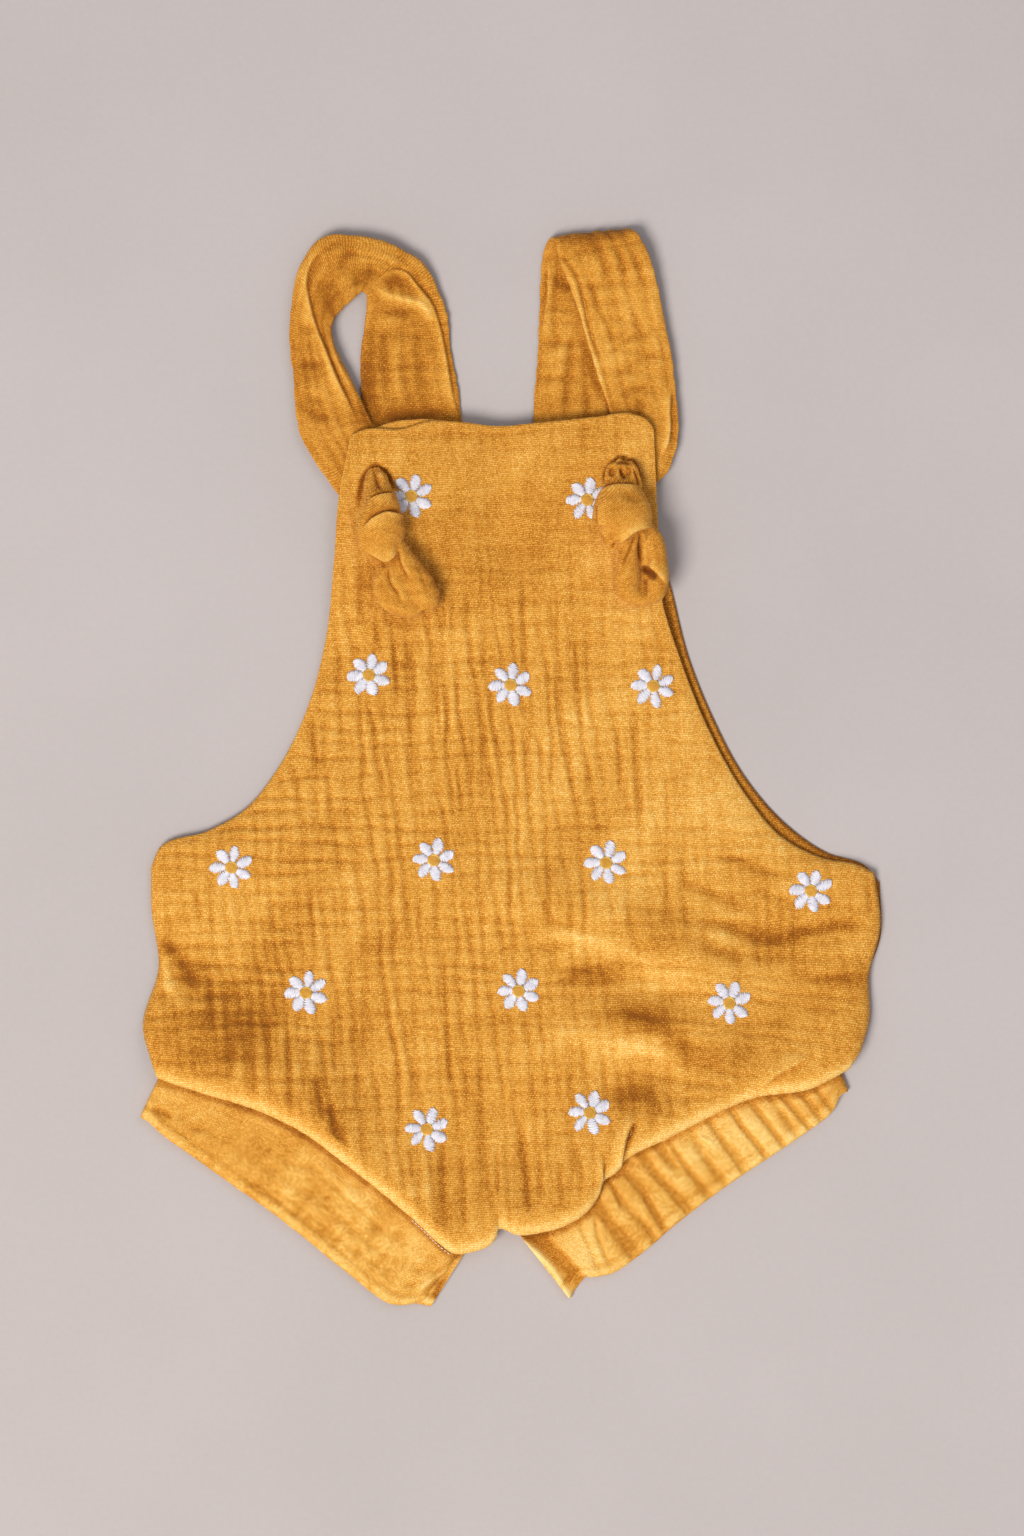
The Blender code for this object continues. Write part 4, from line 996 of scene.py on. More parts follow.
def new_piece(name, points, faces, material, fabric=None, relief=None):
    """An object from points in millimetres, with its cloth coordinates and its relief."""
    mesh = bpy.data.meshes.new(name)
    mesh.from_pydata((points * MM).tolist(), [], faces)
    mesh.update()
    if fabric is not None:
        layer = mesh.uv_layers.new(name="cloth")
        corner = np.empty(len(mesh.loops), np.int32)
        mesh.loops.foreach_get("vertex_index", corner)
        layer.data.foreach_set("uv", fabric[corner].astype(np.float32).ravel())
    if relief is not None:
        # the relief attribute: crinkle height plus painted light and shade, which darkens or lightens
        # the cloth's colour
        attribute = mesh.attributes.new("relief", "FLOAT", "POINT")
        attribute.data.foreach_set("value", relief.astype(np.float32))
    mesh.materials.append(material)
    mesh.shade_smooth()
    made = bpy.data.objects.new(name, mesh)
    bpy.context.scene.collection.objects.link(made)
    return made


def facing_out(made):
    """Turns every face of a closed piece outwards."""
    builder = bmesh.new()
    builder.from_mesh(made.data)
    bmesh.ops.recalc_face_normals(builder, faces=builder.faces)
    builder.to_mesh(made.data)
    builder.free()
    return made


def rings_along(paths, width, height, sides):
    """Rounded flattened rings round each point of one path or many."""
    heading = np.gradient(paths, axis=-2)
    heading /= length(heading)
    aside = np.cross(heading, (0.0, 0.0, 1.0))
    aside /= length(aside)
    upward = np.cross(aside, heading)
    angles = (2 * math.pi * np.arange(sides) / sides)[:, None]
    return (
        paths[..., None, :]
        + np.cos(angles) * (aside * width / 2)[..., None, :]
        + np.sin(angles) * (upward * height / 2)[..., None, :]
    )


def joined_tubes(name, tubes, material):
    """Many closed tubes as one mesh: each is a grid of rings, capped at both ends."""
    faces, start = [], 0
    for rings in tubes:
        count, sides = rings.shape[:2]
        last = (count - 1) * sides
        caps = [range(sides)[::-1], range(last, last + sides)]
        for face in [*faces_of(count, sides, True).tolist(), *caps]:
            faces.append([corner + start for corner in face])
        start += count * sides
    points = np.concatenate([rings.reshape(-1, 3) for rings in tubes])
    return facing_out(new_piece(name, points, faces, material))


# ------------------------------------------------------------------------------ materials
class Graph:
    """Shorthand for wiring a material's nodes."""

    def __init__(self, name):
        self.material = bpy.data.materials.new(name)
        self.material.use_nodes = True
        self.tree = self.material.node_tree
        self.shader = self.tree.nodes["Principled BSDF"]

    def put(self, node, socket, value):
        target = node.inputs[socket]
        if isinstance(value, bpy.types.NodeSocket):
            self.tree.links.new(value, target)
        else:
            target.default_value = value

    def add(self, kind, values=(), **settings):
        node = self.tree.nodes.new(kind)
        for key, value in settings.items():
            setattr(node, key, value)
        for socket, value in dict(values).items():
            self.put(node, socket, value)
        return node

    def math(self, operation, *values):
        return self.add("ShaderNodeMath", enumerate(values), operation=operation).outputs[0]

    def weighed(self, source, gain, rest):
        return self.math("MULTIPLY_ADD", source, gain, rest)

    def noise(self, vector, scale, detail=2.0, rough=0.5, output="Fac"):
        values = {"Vector": vector, "Scale": scale, "Detail": detail, "Roughness": rough}
        return self.add("ShaderNodeTexNoise", values).outputs[output]

    def drift(self, vector, scale):
        colour = self.noise(vector, scale, output="Color")
        return self.add("ShaderNodeSeparateColor", {0: colour}).outputs

    def random(self, vector):
        node = self.add("ShaderNodeTexWhiteNoise", {"Vector": vector}, noise_dimensions="2D")
        return node.outputs["Value"]

    def joined(self, x, y):
        return self.add("ShaderNodeCombineXYZ", {"X": x, "Y": y}).outputs[0]

    def stretched(self, places, x, y):
        return self.joined(self.math("MULTIPLY", places[0], x), self.math("MULTIPLY", places[1], y))

    def ramp(self, factor, stops):
        node = self.add("ShaderNodeValToRGB", {"Fac": factor})
        ramp = node.color_ramp
        while len(ramp.elements) < len(stops):
            ramp.elements.new(0.5)
        for element, (place, colour) in zip(ramp.elements, stops):
            element.position = place
            element.color = (*colour, 1)
        return node.outputs["Color"]

    def bump(self, height, strength, distance):
        values = {"Strength": strength, "Distance": distance, "Height": height}
        return self.add("ShaderNodeBump", values).outputs[0]

    def finish(self, colour, roughness, bump, sheen, tint=(1.0, 1.0, 1.0)):
        self.put(self.shader, "Base Color", colour)
        self.put(self.shader, "Roughness", roughness)
        self.put(self.shader, "Specular IOR Level", 0.2)
        self.put(self.shader, "Sheen Weight", sheen)
        self.put(self.shader, "Sheen Roughness", 0.45)
        self.put(self.shader, "Sheen Tint", (*tint, 1))
        self.put(self.shader, "Normal", bump)
        return self.material


WARP_PITCH = 0.62  # from one thread of the gauze to the next, across and up the cloth
WEFT_PITCH = 0.80
THREAD_SWAY = 5.0  # how far the threads wander over a long way, and over a short one
THREAD_SHAKE = 0.9
GAUZE_STOPS = (
    (0.00, (0.25, 0.072, 0.003)),
    (0.28, (0.50, 0.185, 0.014)),
    (0.50, (0.68, 0.308, 0.041)),
    (0.74, (0.80, 0.444, 0.090)),
    (1.00, (0.92, 0.68, 0.26)),
)


def gauze(name, hollow_shade=0.34, weave=1.0, base=0.48):
    """Crinkled double gauze: open plain weave, slubbed threads, with painted shade where its relief is
    low and painted light where it is high.
    """
    g = Graph(name)
    cloth = g.add("ShaderNodeUVMap", uv_map="cloth").outputs["UV"]
    axes = g.add("ShaderNodeSeparateXYZ", {0: cloth}).outputs
    sway, shake = g.drift(cloth, 0.05), g.drift(cloth, 0.6)
    cells, gaps, places = [], [], []
    for axis, part, pitch in (("X", "Red", WARP_PITCH), ("Y", "Green", WEFT_PITCH)):
        swayed = g.weighed(sway[part], THREAD_SWAY, axes[axis])
        shaken = g.weighed(shake[part], THREAD_SHAKE, swayed)
        counted = g.math("DIVIDE", shaken, pitch)
        places.append(swayed)
        cells.append(g.math("FLOOR", counted))
        gaps.append(g.math("ABSOLUTE", g.weighed(g.math("FRACT", counted), 2.0, -1.0)))
    crossing = g.random(g.joined(*cells))
    tops = [g.math("SUBTRACT", 1.0, g.math("POWER", gap, 2.0)) for gap in gaps]
    over = g.math("FLOORED_MODULO", g.math("ADD", *cells), 2.0)
    raised = g.math("MULTIPLY", tops[1], g.weighed(tops[0], 0.45, 0.55))
    raised = g.math("MULTIPLY", raised, g.weighed(over, 0.32, 0.68))
    hole = g.math("MULTIPLY", g.math("MULTIPLY", *gaps), crossing)
    slub = g.noise(g.stretched(places, 0.38, 1.1), 1.0, 3.0, 0.65)
    line = g.noise(g.stretched(places, 0.9, 0.07), 1.0, 2.0, 0.6)
    blotch = g.noise(cloth, 0.07, 4.0, 0.6)
    speck = g.noise(cloth, 2.6, 3.0, 0.8)
    # the relief attribute, with the painted light and shade of each piece in it
    relief = g.add("ShaderNodeAttribute", attribute_name="relief").outputs["Fac"]
    tone = g.weighed(raised, 0.36 * weave, base - 0.16 * weave)
    tone = g.weighed(hole, -0.42 * weave, tone)
    for source, gain in (
        (crossing, 0.34 * weave),
        (slub, 0.50 * weave),
        (line, 0.12 * weave),
        (blotch, 0.20),
        (speck, 0.95),
    ):
        tone = g.weighed(g.math("SUBTRACT", source, 0.5), gain, tone)
    # painted shade where the relief is low and painted light where it is high
    colour = g.ramp(g.weighed(relief, hollow_shade, tone), GAUZE_STOPS)
    height = g.weighed(speck, 0.5, g.weighed(hole, -0.8, raised))
    return g.finish(colour, 0.92, g.bump(height, 0.32, 0.0003), 0.25, (1.0, 0.80, 0.45))


def yarn(name, dark, light):
    """Satin-stitch yarn: fine fibres along it, uneven from stitch to stitch."""
    g = Graph(name)
    place = g.add("ShaderNodeTexCoord").outputs["Object"]
    fibre = g.noise(place, 2600.0, 3.0, 0.6)
    patchy = g.noise(place, 420.0)
    tone = g.weighed(fibre, 0.7, g.weighed(patchy, 0.8, -0.25))
    colour = g.ramp(tone, ((0.1, dark), (0.75, light)))
    return g.finish(colour, 0.55, g.bump(fibre, 0.4, 0.0001), 0.3)


def floor_material():
    """A plain pale matt ground with hardly any mottling."""
    g = Graph("floor_pale")
    place = g.add("ShaderNodeTexCoord").outputs["Object"]
    cloudy = g.noise(place, 5.0, 4.0, 0.55)
    grain = g.noise(place, 420.0, 3.0, 0.7)
    tone = g.weighed(grain, 0.35, g.weighed(cloudy, 0.75, -0.05))
    colour = g.ramp(tone, ((0.2, (0.440, 0.395, 0.382)), (0.8, (0.512, 0.462, 0.450))))
    return g.finish(colour, 0.9, g.bump(grain, 0.15, 0.0004), 0.0)


# ------------------------------------------------------------------- camera, light, floor
PHOTO_HEIGHT = 645.1  # how much of the ground the picture takes in, top to bottom
CAMERA_HEIGHT = 2400.0
CAMERA_AIM = (0.63, -0.42)
SENSOR = 36.0
FLOOR_HALF = 4000.0
FLOOR_Z = -0.1


def add_camera():
    data = bpy.data.cameras.new("camera")
    data.sensor_fit = "AUTO"
    data.sensor_width = SENSOR
    data.lens = SENSOR * CAMERA_HEIGHT / PHOTO_HEIGHT
    made = bpy.data.objects.new("camera", data)
    made.location = (CAMERA_AIM[0] * MM, CAMERA_AIM[1] * MM, CAMERA_HEIGHT * MM)
    bpy.context.scene.collection.objects.link(made)
    bpy.context.scene.camera = made


def add_light(name, place, size, power, colour):
    """A round soft light at a place in metres, turned to the garment."""
    data = bpy.data.lights.new(name, "AREA")
    data.shape = "DISK"
    data.size = size
    data.energy = power
    data.color = colour
    made = bpy.data.objects.new(name, data)
    made.location = place
    made.rotation_euler = (-Vector(place)).to_track_quat("-Z", "Y").to_euler()
    bpy.context.scene.collection.objects.link(made)


def add_surroundings():
    """Key and fill light, the sky's light, and the floor."""
    add_light("key", (-2.2, -2.55, 4.4), size=3.0, power=315.0, colour=(1.0, 0.965, 0.92))
    add_light("fill", (2.6, 2.4, 4.6), size=3.4, power=44.0, colour=(0.92, 0.95, 1.0))
    world = bpy.data.worlds.new("studio")
    world.use_nodes = True
    world.node_tree.nodes["Background"].inputs["Color"].default_value = (0.93, 0.95, 1.0, 1)
    world.node_tree.nodes["Background"].inputs["Strength"].default_value = 0.42
    bpy.context.scene.world = world
    bpy.context.scene.view_settings.view_transform = "Standard"
    corners = [(x * FLOOR_HALF, y * FLOOR_HALF, FLOOR_Z)
               for x, y in ((-1, -1), (1, -1), (1, 1), (-1, 1))]
    floor = new_piece("floor", np.array(corners), [(0, 1, 2, 3)], floor_material())


# --------------------------------------------------------------------------------- panels
JOIN_ROW = 4  # the row of the panel that the rolled edge runs into smoothly
FRONT_DEEPEST, FRONT_HIGHEST = -2.6, 1.6
LIP_CLEAR = 2.0  # a folded edge dies out this near the panel's side
# painted light on the raised side of a folded edge and painted shade in the hollow at its foot, as a
# share of its height
FOLDED_LIGHT_AND_SHADE = 0.4
CALM_SIDE, CALM_TOP, CALM_ROLL = 5.0, 4.0, 0.8  # within this of an edge the crinkle fades
CALM_BELOW = 0.15  # share of the crinkle on the rolled edge
CALM_DAISY, DAISY_REACH = 0.75, 8.5  # stitches hold the cloth flat round a daisy
HEM_ROUND = 2.2
HEM_DROP = 0.6
HEM_RELIEF = 0.35


def front_form():
    """The front panel's smooth outer face: points, distance from the sides and from below."""
    left = edge_pair(FRONT_SIDE_LEFT, FRONT_ARMHOLE_LEFT, SIDE_ROWS, ARMHOLE_ROWS)
    right = edge_pair(FRONT_SIDE_RIGHT, FRONT_ARMHOLE_RIGHT, SIDE_ROWS, ARMHOLE_ROWS)
    seam, plan = panel_plan(FRONT_COLUMNS, FRONT_TOP, left, right)
    aside = from_sides(plan)
    inward = rise(aside, EDGE_REACH)
    above = length(plan - plan[:1])[..., 0]
    heights = front_underside(plan[..., 0], plan[..., 1], inward, above) + PANEL
    points = np.dstack([plan, heights])
    share = ROLL_LEAST + (1 - ROLL_LEAST) * inward[0]
    control = [
        np.column_stack(
            [seam + (plan[0] - seam) * inset / ROLL_INSET, ROLL_Z + (level - ROLL_Z) * share]
        )
        for inset, level in ROLL
    ]
    control = np.stack(control + [points[0], points[JOIN_ROW]])
    where = distances(control.mean(axis=1))
    roll = smooth(where, control, np.linspace(0, where[-2], ROLL_ROWS + 1))[:-1]
    points = np.concatenate([roll, points])
    below = np.linspace(1, 0, ROLL_ROWS, endpoint=False)[:, None]
    above = np.concatenate([-below * np.ones_like(above[:1]), above])
    aside = np.concatenate([np.repeat(aside[:1], ROLL_ROWS, axis=0), aside])
    return points, aside, above


def front_fabric(x, y):
    """Where each place of the front lies on the cloth before it was laid."""
    right = np.log1p(np.exp((x - BIAS_FROM[0]) / BIAS_SOFTNESS)) * BIAS_SOFTNESS
    down = np.log1p(np.exp((BIAS_FROM[1] - y) / BIAS_SOFTNESS)) * BIAS_SOFTNESS
    bias = BIAS_SHARE * right * down / (right + down + BIAS_ROUND)
    return cloth_map(x + LEAN * y - BIAS_ACROSS * bias, y + bias)


def calmed(form, x, y, aside, above):
    """How much of the crinkle is left near the edges and round the daisies."""
    to_top = distances(form[::-1].mean(axis=1))[::-1][:, None]
    calm = ease(0.0, CALM_SIDE, aside) * ease(0.0, CALM_TOP, to_top)
    calm = calm * (CALM_BELOW + (1 - CALM_BELOW) * ease(-CALM_ROLL, CALM_ROLL, above))
    for x0, y0, _ in DAISIES:
        gap = np.hypot(x - x0, y - y0)
        calm = calm * (1 - CALM_DAISY * np.exp(-((gap / DAISY_REACH) ** 4)))
    return calm


def front_panel(material):
    """Bib and body front in one, with its rolled lower edge."""
    form, aside, above = front_form()
    x, y = form[..., 0], form[..., 1]
    fabric = front_fabric(x, y)
    upright = sum(share * furrows(fabric[..., 0], y, *shape) for share, *shape in UPRIGHT_FURROWS)
    level = sum(share * furrows(fabric[..., 1], x, *shape) for share, *shape in LEVEL_FURROWS)
    relief = upright * zones(x, y, UPRIGHT_SHARE, UPRIGHT_ZONES)
    relief += level * zones(x, y, LEVEL_SHARE, LEVEL_ZONES)
    relief += sum(undulation(x, y, *swell) for swell in FRONT_SWELLS)
    relief += FRONT_CREASING * creased(x, y, FRONT_CREASES)
    relief = np.clip(relief * calmed(form, x, y, aside, above), FRONT_DEEPEST, FRONT_HIGHEST)
    folded = lipped(x, y, FRONT_LIPS) * ease(0.0, LIP_CLEAR, aside)
    normals = grid_normals(form)
    outer = form + normals * (relief + folded)[..., None]
    sunk = lowest_near(np.minimum(relief, 0))
    inner = (form + normals * (sunk - PANEL)[..., None])[COARSE, COARSE]
    # tone for the colour: the crinkle height, painted light and shade on folded edges and in listed
    # patches, and a painted highlight along the rolled edge
    tone = relief + FOLDED_LIGHT_AND_SHADE * folded + zones(x, y, 0.0, PAINTED_LIGHT_AND_SHADE_ZONES)
    tone += ROLL_TONE * bell(above, *ROLL_LIGHT)
    return walled("front_cloth", outer, inner, material, fabric, tone)


def back_panel(material):
    """The back, flat on the ground, with the hem that shows round the right armhole."""
    left = edge_pair(BACK_SIDE_LEFT, BACK_ARMHOLE_LEFT, BACK_SIDE_ROWS, BACK_ARMHOLE_ROWS)
    right = edge_pair(BACK_SIDE_RIGHT, BACK_ARMHOLE_RIGHT, BACK_SIDE_ROWS, BACK_ARMHOLE_ROWS)
    _, plan = panel_plan(BACK_COLUMNS, BACK_TOP, left, right)
    aside = from_sides(plan)
    relief = HEM_RELIEF * (bell(aside, *BACK_HEM) - bell(aside, *BACK_HEM_SEAM))
    relief -= HEM_DROP * (1 - rise(aside, HEM_ROUND))
    outer = np.dstack([plan, PANEL + relief])
    inner = np.dstack([plan, np.zeros(aside.shape)])[COARSE, COARSE]
    fabric = cloth_map(plan[..., 0] + LEAN * plan[..., 1], plan[..., 1])
    # painted shade over the back's top face, as in the front panel's shadow
    return walled("back_cloth", outer, inner, material, fabric, relief - BACK_SHADE)


# ------------------------------------------------------------------------ straps and bands
RING_FINENESS = 4000
STRAP_GIRTH = 74.0  # the cloth round a strap's tube
STRAP_SLANT = (0.02, 0.05)  # how far its threads run aslant, lengthwise and across
STRAP_UP = 0.05  # a crease is only on faces that look up by more than this
STRAP_THINNEST = 0.25
STRAP_HIGHEST = 1.9
STRAP_INSIDE_Z = 0.6
WALL_GAP = 0.05
BAND_GIRTH = 92.0  # the cloth round a band, outside and inside
BAND_UP = 0.1
BAND_UNDER = 0.3  # share of the crinkle on the side that lies on the ground
LAYER_SLACK = 0.5  # the front layer starts this far under its middle
# painted shade in the band's low crinkle and painted light on its ridges: tone per unit of relief, on
# the upper layer and on the one beneath
UPPER_RELIEF_SHADING, UNDER_RELIEF_SHADING = 0.8, 1.6
FACING_LEAN = (0.0, 1.0, 0.6)  # which way the facing's relief stands out


def even_ring(count, width, thickness, squareness):
    """Points evenly spaced round a flattened section, as shares of its half sizes."""
    angles = 2 * math.pi * (np.arange(RING_FINENESS) + 0.5) / RING_FINENESS
    power = 2 / squareness
    across = np.sign(np.cos(angles)) * np.abs(np.cos(angles)) ** power
    over = np.sign(np.sin(angles)) * np.abs(np.sin(angles)) ** power
    ring = np.stack([across * width, over * thickness], 1)
    ring = np.concatenate([ring, ring[:1]])
    along = distances(ring)
    even = np.linspace(0, along[-1], count, endpoint=False)
    return np.interp(even, along, ring[:, 0]) / width, np.interp(even, along, ring[:, 1]) / thickness


def middle_line(rows):
    """The line midway between a strip's two edges."""
    return (rows[:, 0:3] + rows[:, 3:6]) / 2


def strip_rows(rows, sections):
    """A strip's rows, read at even places along it: one edge, the other and the thickness."""
    rows = np.asarray(rows, float)
    where = distances(middle_line(rows))
    return smooth(where, rows, np.linspace(0, where[-1], sections))


def strip_form(rows, section, thinner=0.0):
    """Rings of a flattened tube between a strip's edges, thinner all round inside a wall."""
    centres = middle_line(rows)
    half = (rows[:, 3:6] - rows[:, 0:3]) / 2
    normal = np.cross(half, np.gradient(centres, axis=0))
    normal /= length(normal)
    half = half * (1 - thinner / length(half))
    across, over = section
    return (
        centres[:, None]
        + across[None, :, None] * half[:, None]
        + over[None, :, None] * (normal * (rows[:, 6:] / 2 - thinner))[:, None]
    )


def strip_wall(rows, sections, ring, outside, inside, wall):
    """A strip's even rows, its fine outer form and its coarse inner one."""
    fine = strip_rows(rows, sections + 1)
    coarse = strip_rows(rows, sections // WALL_STEP + 1)
    inner = strip_form(coarse, even_ring(ring // WALL_STEP, *inside), wall)
    return fine, strip_form(fine, even_ring(ring, *outside)), inner


def lifted(form, normals, relief):
    """A form raised by its relief, and nowhere below the ground."""
    outer = form + normals * relief[..., None]
    outer[..., 2] = np.maximum(outer[..., 2], 0.0)
    return outer


def round_tube(count, girth):
    """How far round a sewn tube each point of a ring lies, from one fold to the other and back."""
    side = np.arange(count)
    return np.where(side < count / 2, side, count - side) * girth / count


def strap(name, rows, creases, lips, seed, material):
    """One strap, a sewn tube lying flat, from the back panel to its buttonhole."""
    fine, form, inner = strip_wall(
        rows, STRAP_SECTIONS, STRAP_RING, STRAP_OUTSIDE, STRAP_INSIDE, STRAP_WALL
    )
    x, y = form[..., 0], form[..., 1]
    along, thick = distances(middle_line(fine))[:, None], fine[:, 6:]
    normals = tube_normals(form)
    round_it = round_tube(STRAP_RING, STRAP_GIRTH)[None]
    fabric = cloth_map(round_it + STRAP_SLANT[0] * along, along + STRAP_SLANT[1] * round_it)
    relief = crinkle(fabric, seed, *STRAP_FURROWS)
    relief += undulation(x, y, seed + 2, *STRAP_SWELL)
    share = along / along[-1]
    for rule, table in ((creased, creases), (lipped, lips)):
        for first, last, *row in table:
            where = (share >= first) & (share <= last) & (normals[..., 2] > STRAP_UP)
            relief[where] += rule(x[where], y[where], [row])
    relief = np.clip(relief, STRAP_THINNEST - thick / 2, STRAP_HIGHEST)
    outer = lifted(form, normals, relief)
    room = thick / 2 - STRAP_WALL - WALL_GAP
    inner += (normals * np.clip(relief, -room, 0)[..., None])[COARSE, COARSE]
    inner[..., 2] = np.maximum(inner[..., 2], STRAP_INSIDE_Z)
    # tone for the colour: the crinkle height with painted light and shade patches
    tone = relief + zones(x, y, 0.0, STRAP_PAINTED_LIGHT_AND_SHADE)
    return facing_out(walled(name, outer, inner, material, fabric, tone, wrap=True))


def lower_edge(x):
    """Y of the body's lower edge, which the leg bands come out from under."""
    line = curve(FRONT_BOTTOM, 256)
    return np.interp(x, line[:, 0], line[:, 1])


def band_layer(rows, level):
    """Both edges of one layer of a leg band: (seam x, y, z, hem x, y, z) for each section."""
    rows = np.asarray(rows, float)
    where = distances(rows[:, 1:3])
    seam_x, hem_x, hem_y = smooth(where, rows, np.linspace(0, where[-1], BAND_LAYER_ROWS)).T
    seam_y = lower_edge(seam_x) + ROLL_INSET - BAND_SEAM_DROP
    z = np.full(BAND_LAYER_ROWS, level)
    return np.stack([seam_x, seam_y, z, hem_x, hem_y, z], 1)


def band_strip(front, back):
    """A leg band's rows: its front layer, the fold at its outer end and its back layer."""
    front = band_layer(front, BAND_FRONT_Z)
    back = band_layer(back, BAND_BACK_Z)
    fold = (front[-1] + back[0]) / 2
    fold[[0, 3]] += math.copysign(BAND_FOLD_OUT, fold[0])
    rows = strip_rows(np.concatenate([front, [fold], back]), BAND_SECTIONS + 1)
    rows[:, [2, 5]] = np.clip(rows[:, [2, 5]], BAND_BACK_Z, BAND_FRONT_Z)
    return np.column_stack([rows, np.full(len(rows), BAND)])


def leg_band(name, front, back, creases, dimples, beneath, painted_light_and_shade, shares, shade, seed, material):
    """A band round the leg, crinkled, its hem rolled and its seam shaded by the body."""
    rows = band_strip(front, back)
    form = strip_form(rows, even_ring(BAND_RING, *BAND_SECTION))
    coarse_ring = even_ring(BAND_RING // WALL_STEP, *BAND_SECTION)
    inner = strip_form(rows, coarse_ring, BAND_WALL)[COARSE]
    x, y, z = form[..., 0], form[..., 1], form[..., 2]
    normals = tube_normals(form)
    along, round_it = distances(middle_line(rows)), round_tube(BAND_RING, BAND_GIRTH)
    fabric = cloth_map(along[:, None], round_it[None])
    layers = [(share, *shape) for share, shape in zip(shares, BAND_FURROWS)]
    relief = crinkle(fabric, seed, *layers)
    relief += undulation(x, y, seed + 2, *BAND_SWELL)
    upper = (normals[..., 2] > BAND_UP) & (z > BAND_FRONT_Z - LAYER_SLACK)
    relief[upper] += creased(x[upper], y[upper], creases)
    relief[upper] += zones(x[upper], y[upper], 0.0, dimples)
    under = (normals[..., 2] > BAND_UP) & ~upper
    relief[under] += creased(x[under], y[under], beneath)
    from_hem = length(form - rows[:, None, 3:6])[..., 0]
    below_body = lower_edge(x) - y
    relief += BAND_LIFT * ease(0.0, 5.0, from_hem) * ease(0.5, 3.5, below_body)
    relief += HEM_ROLL * (bell(from_hem, *BAND_HEM) - bell(from_hem, *BAND_HEM_SEAM))
    relief *= ease(0.2, 0.9, np.abs(normals[..., 2]))
    relief[z < BAND_BACK_Z] *= BAND_UNDER
    relief = np.clip(relief, -BAND_DEEPEST, BAND_HIGHEST)
    outer = lifted(form, normals, relief)
    # tone for the colour: painted light and shade patches, painted shade in the low crinkle and light
    # on its ridges, a painted highlight along the hem and painted shade under the body's edge
    tone = zones(x, y, 0.0, painted_light_and_shade) * (normals[..., 2] > 0)
    tone += np.where(upper, UPPER_RELIEF_SHADING, UNDER_RELIEF_SHADING) * relief
    tone += HEM_TONE * bell(from_hem, *BAND_HEM_LIGHT)
    tone -= shade * bell(np.maximum(below_body, 0), BODY_SHADE_REACH)
    return facing_out(walled(name, outer, inner, material, fabric, tone, wrap=True))


def bib_facing(material):
    """The turned-in edge that shows behind the bib's top."""
    line = curve(BIB_FACING, FACING_SECTIONS + 1)
    x, y = line.T
    z = front_underside(x, y, 1.0, y - FRONT_BOTTOM[0][1]) - SEAM - FACING / 2
    rows = np.column_stack([x, y, z, x, y - FACING_DEPTH, z, np.full(len(x), FACING)])
    _, form, inner = strip_wall(
        rows, FACING_SECTIONS, FACING_RING, FACING_OUTSIDE, FACING_INSIDE, FACING_WALL
    )
    fabric = form[..., :2].copy()
    relief = undulation(form[..., 0], form[..., 1], 61, *FACING_SWELL)
    form = form + relief[..., None] * FACING_LEAN
    return facing_out(walled("bib_facing_cloth", form, inner, material, fabric, relief, wrap=True))


# ---------------------------------------------------------------------- knots and threads
def knot_tube(rows):
    """The rings of one turn of a knot, from rows of x, y, z, width, height."""
    rows = np.asarray(rows, float)
    where = distances(rows[:, :3])
    rows = smooth(where, rows, np.linspace(0, where[-1], TUBE_SECTIONS))
    return rings_along(rows[:, :3], rows[:, 3:4], rows[:, 4:5], TUBE_SIDES)


def relax(builder, factor):
    """Moves each point part of the way to the middle of its neighbours."""
    bmesh.ops.smooth_vert(
        builder, verts=builder.verts, factor=factor,
        use_axis_x=True, use_axis_y=True, use_axis_z=True,
    )


def knot(name, tubes, creases, lips, seed, material):
    """A strap's knot and tail: its turns melted into one body, then creased."""
    rough = joined_tubes(name + "_rough", [knot_tube(rows) for rows in tubes], material)
    remesh = rough.modifiers.new("Melt", "REMESH")
    remesh.mode = "VOXEL"
    remesh.voxel_size = KNOT_VOXEL * MM
    graph = bpy.context.evaluated_depsgraph_get()
    melted = bpy.data.meshes.new_from_object(rough.evaluated_get(graph))
    bpy.data.objects.remove(rough)
    builder = bmesh.new()
    builder.from_mesh(melted)
    for _ in range(KNOT_SMOOTHING):
        relax(builder, 0.5)
    builder.normal_update()
    where = np.array([v.co for v in builder.verts]) / MM
    normals = np.array([v.normal for v in builder.verts])
    x, y, z = where.T
    relief = (creased(x, y, creases) + lipped(x, y, lips)) * ease(-0.1, 0.3, normals[:, 2])
    relief += undulation(x + 0.6 * z, y - 0.4 * z, seed, *KNOT_SWELL)
    where = where + normals * relief[:, None]
    for vert, place in zip(builder.verts, where):
        vert.co = place * MM
    relax(builder, 0.35)
    faces = [[v.index for v in face.verts] for face in builder.faces]
    final = np.array([v.co for v in builder.verts]) / MM
    builder.free()
    bpy.data.meshes.remove(melted)
    fabric = cloth_map(*(np.dot(share, (x, y, z)) for share in KNOT_GRAIN))
    return new_piece(name, final, faces, material, KNOT_CLOTH * fabric, relief)


def stitched(name, paths, width, height, material):
    """Many short threads as one mesh: paths is (threads, points along each, 3)."""
    return joined_tubes(name, rings_along(np.array(paths), width, height, THREAD_SIDES), material)


def facing(degrees):
    """Unit vectors ahead and to the left, for a heading in plan."""
    along, up = math.cos(math.radians(degrees)), math.sin(math.radians(degrees))
    return np.array([along, up]), np.array([-up, along])


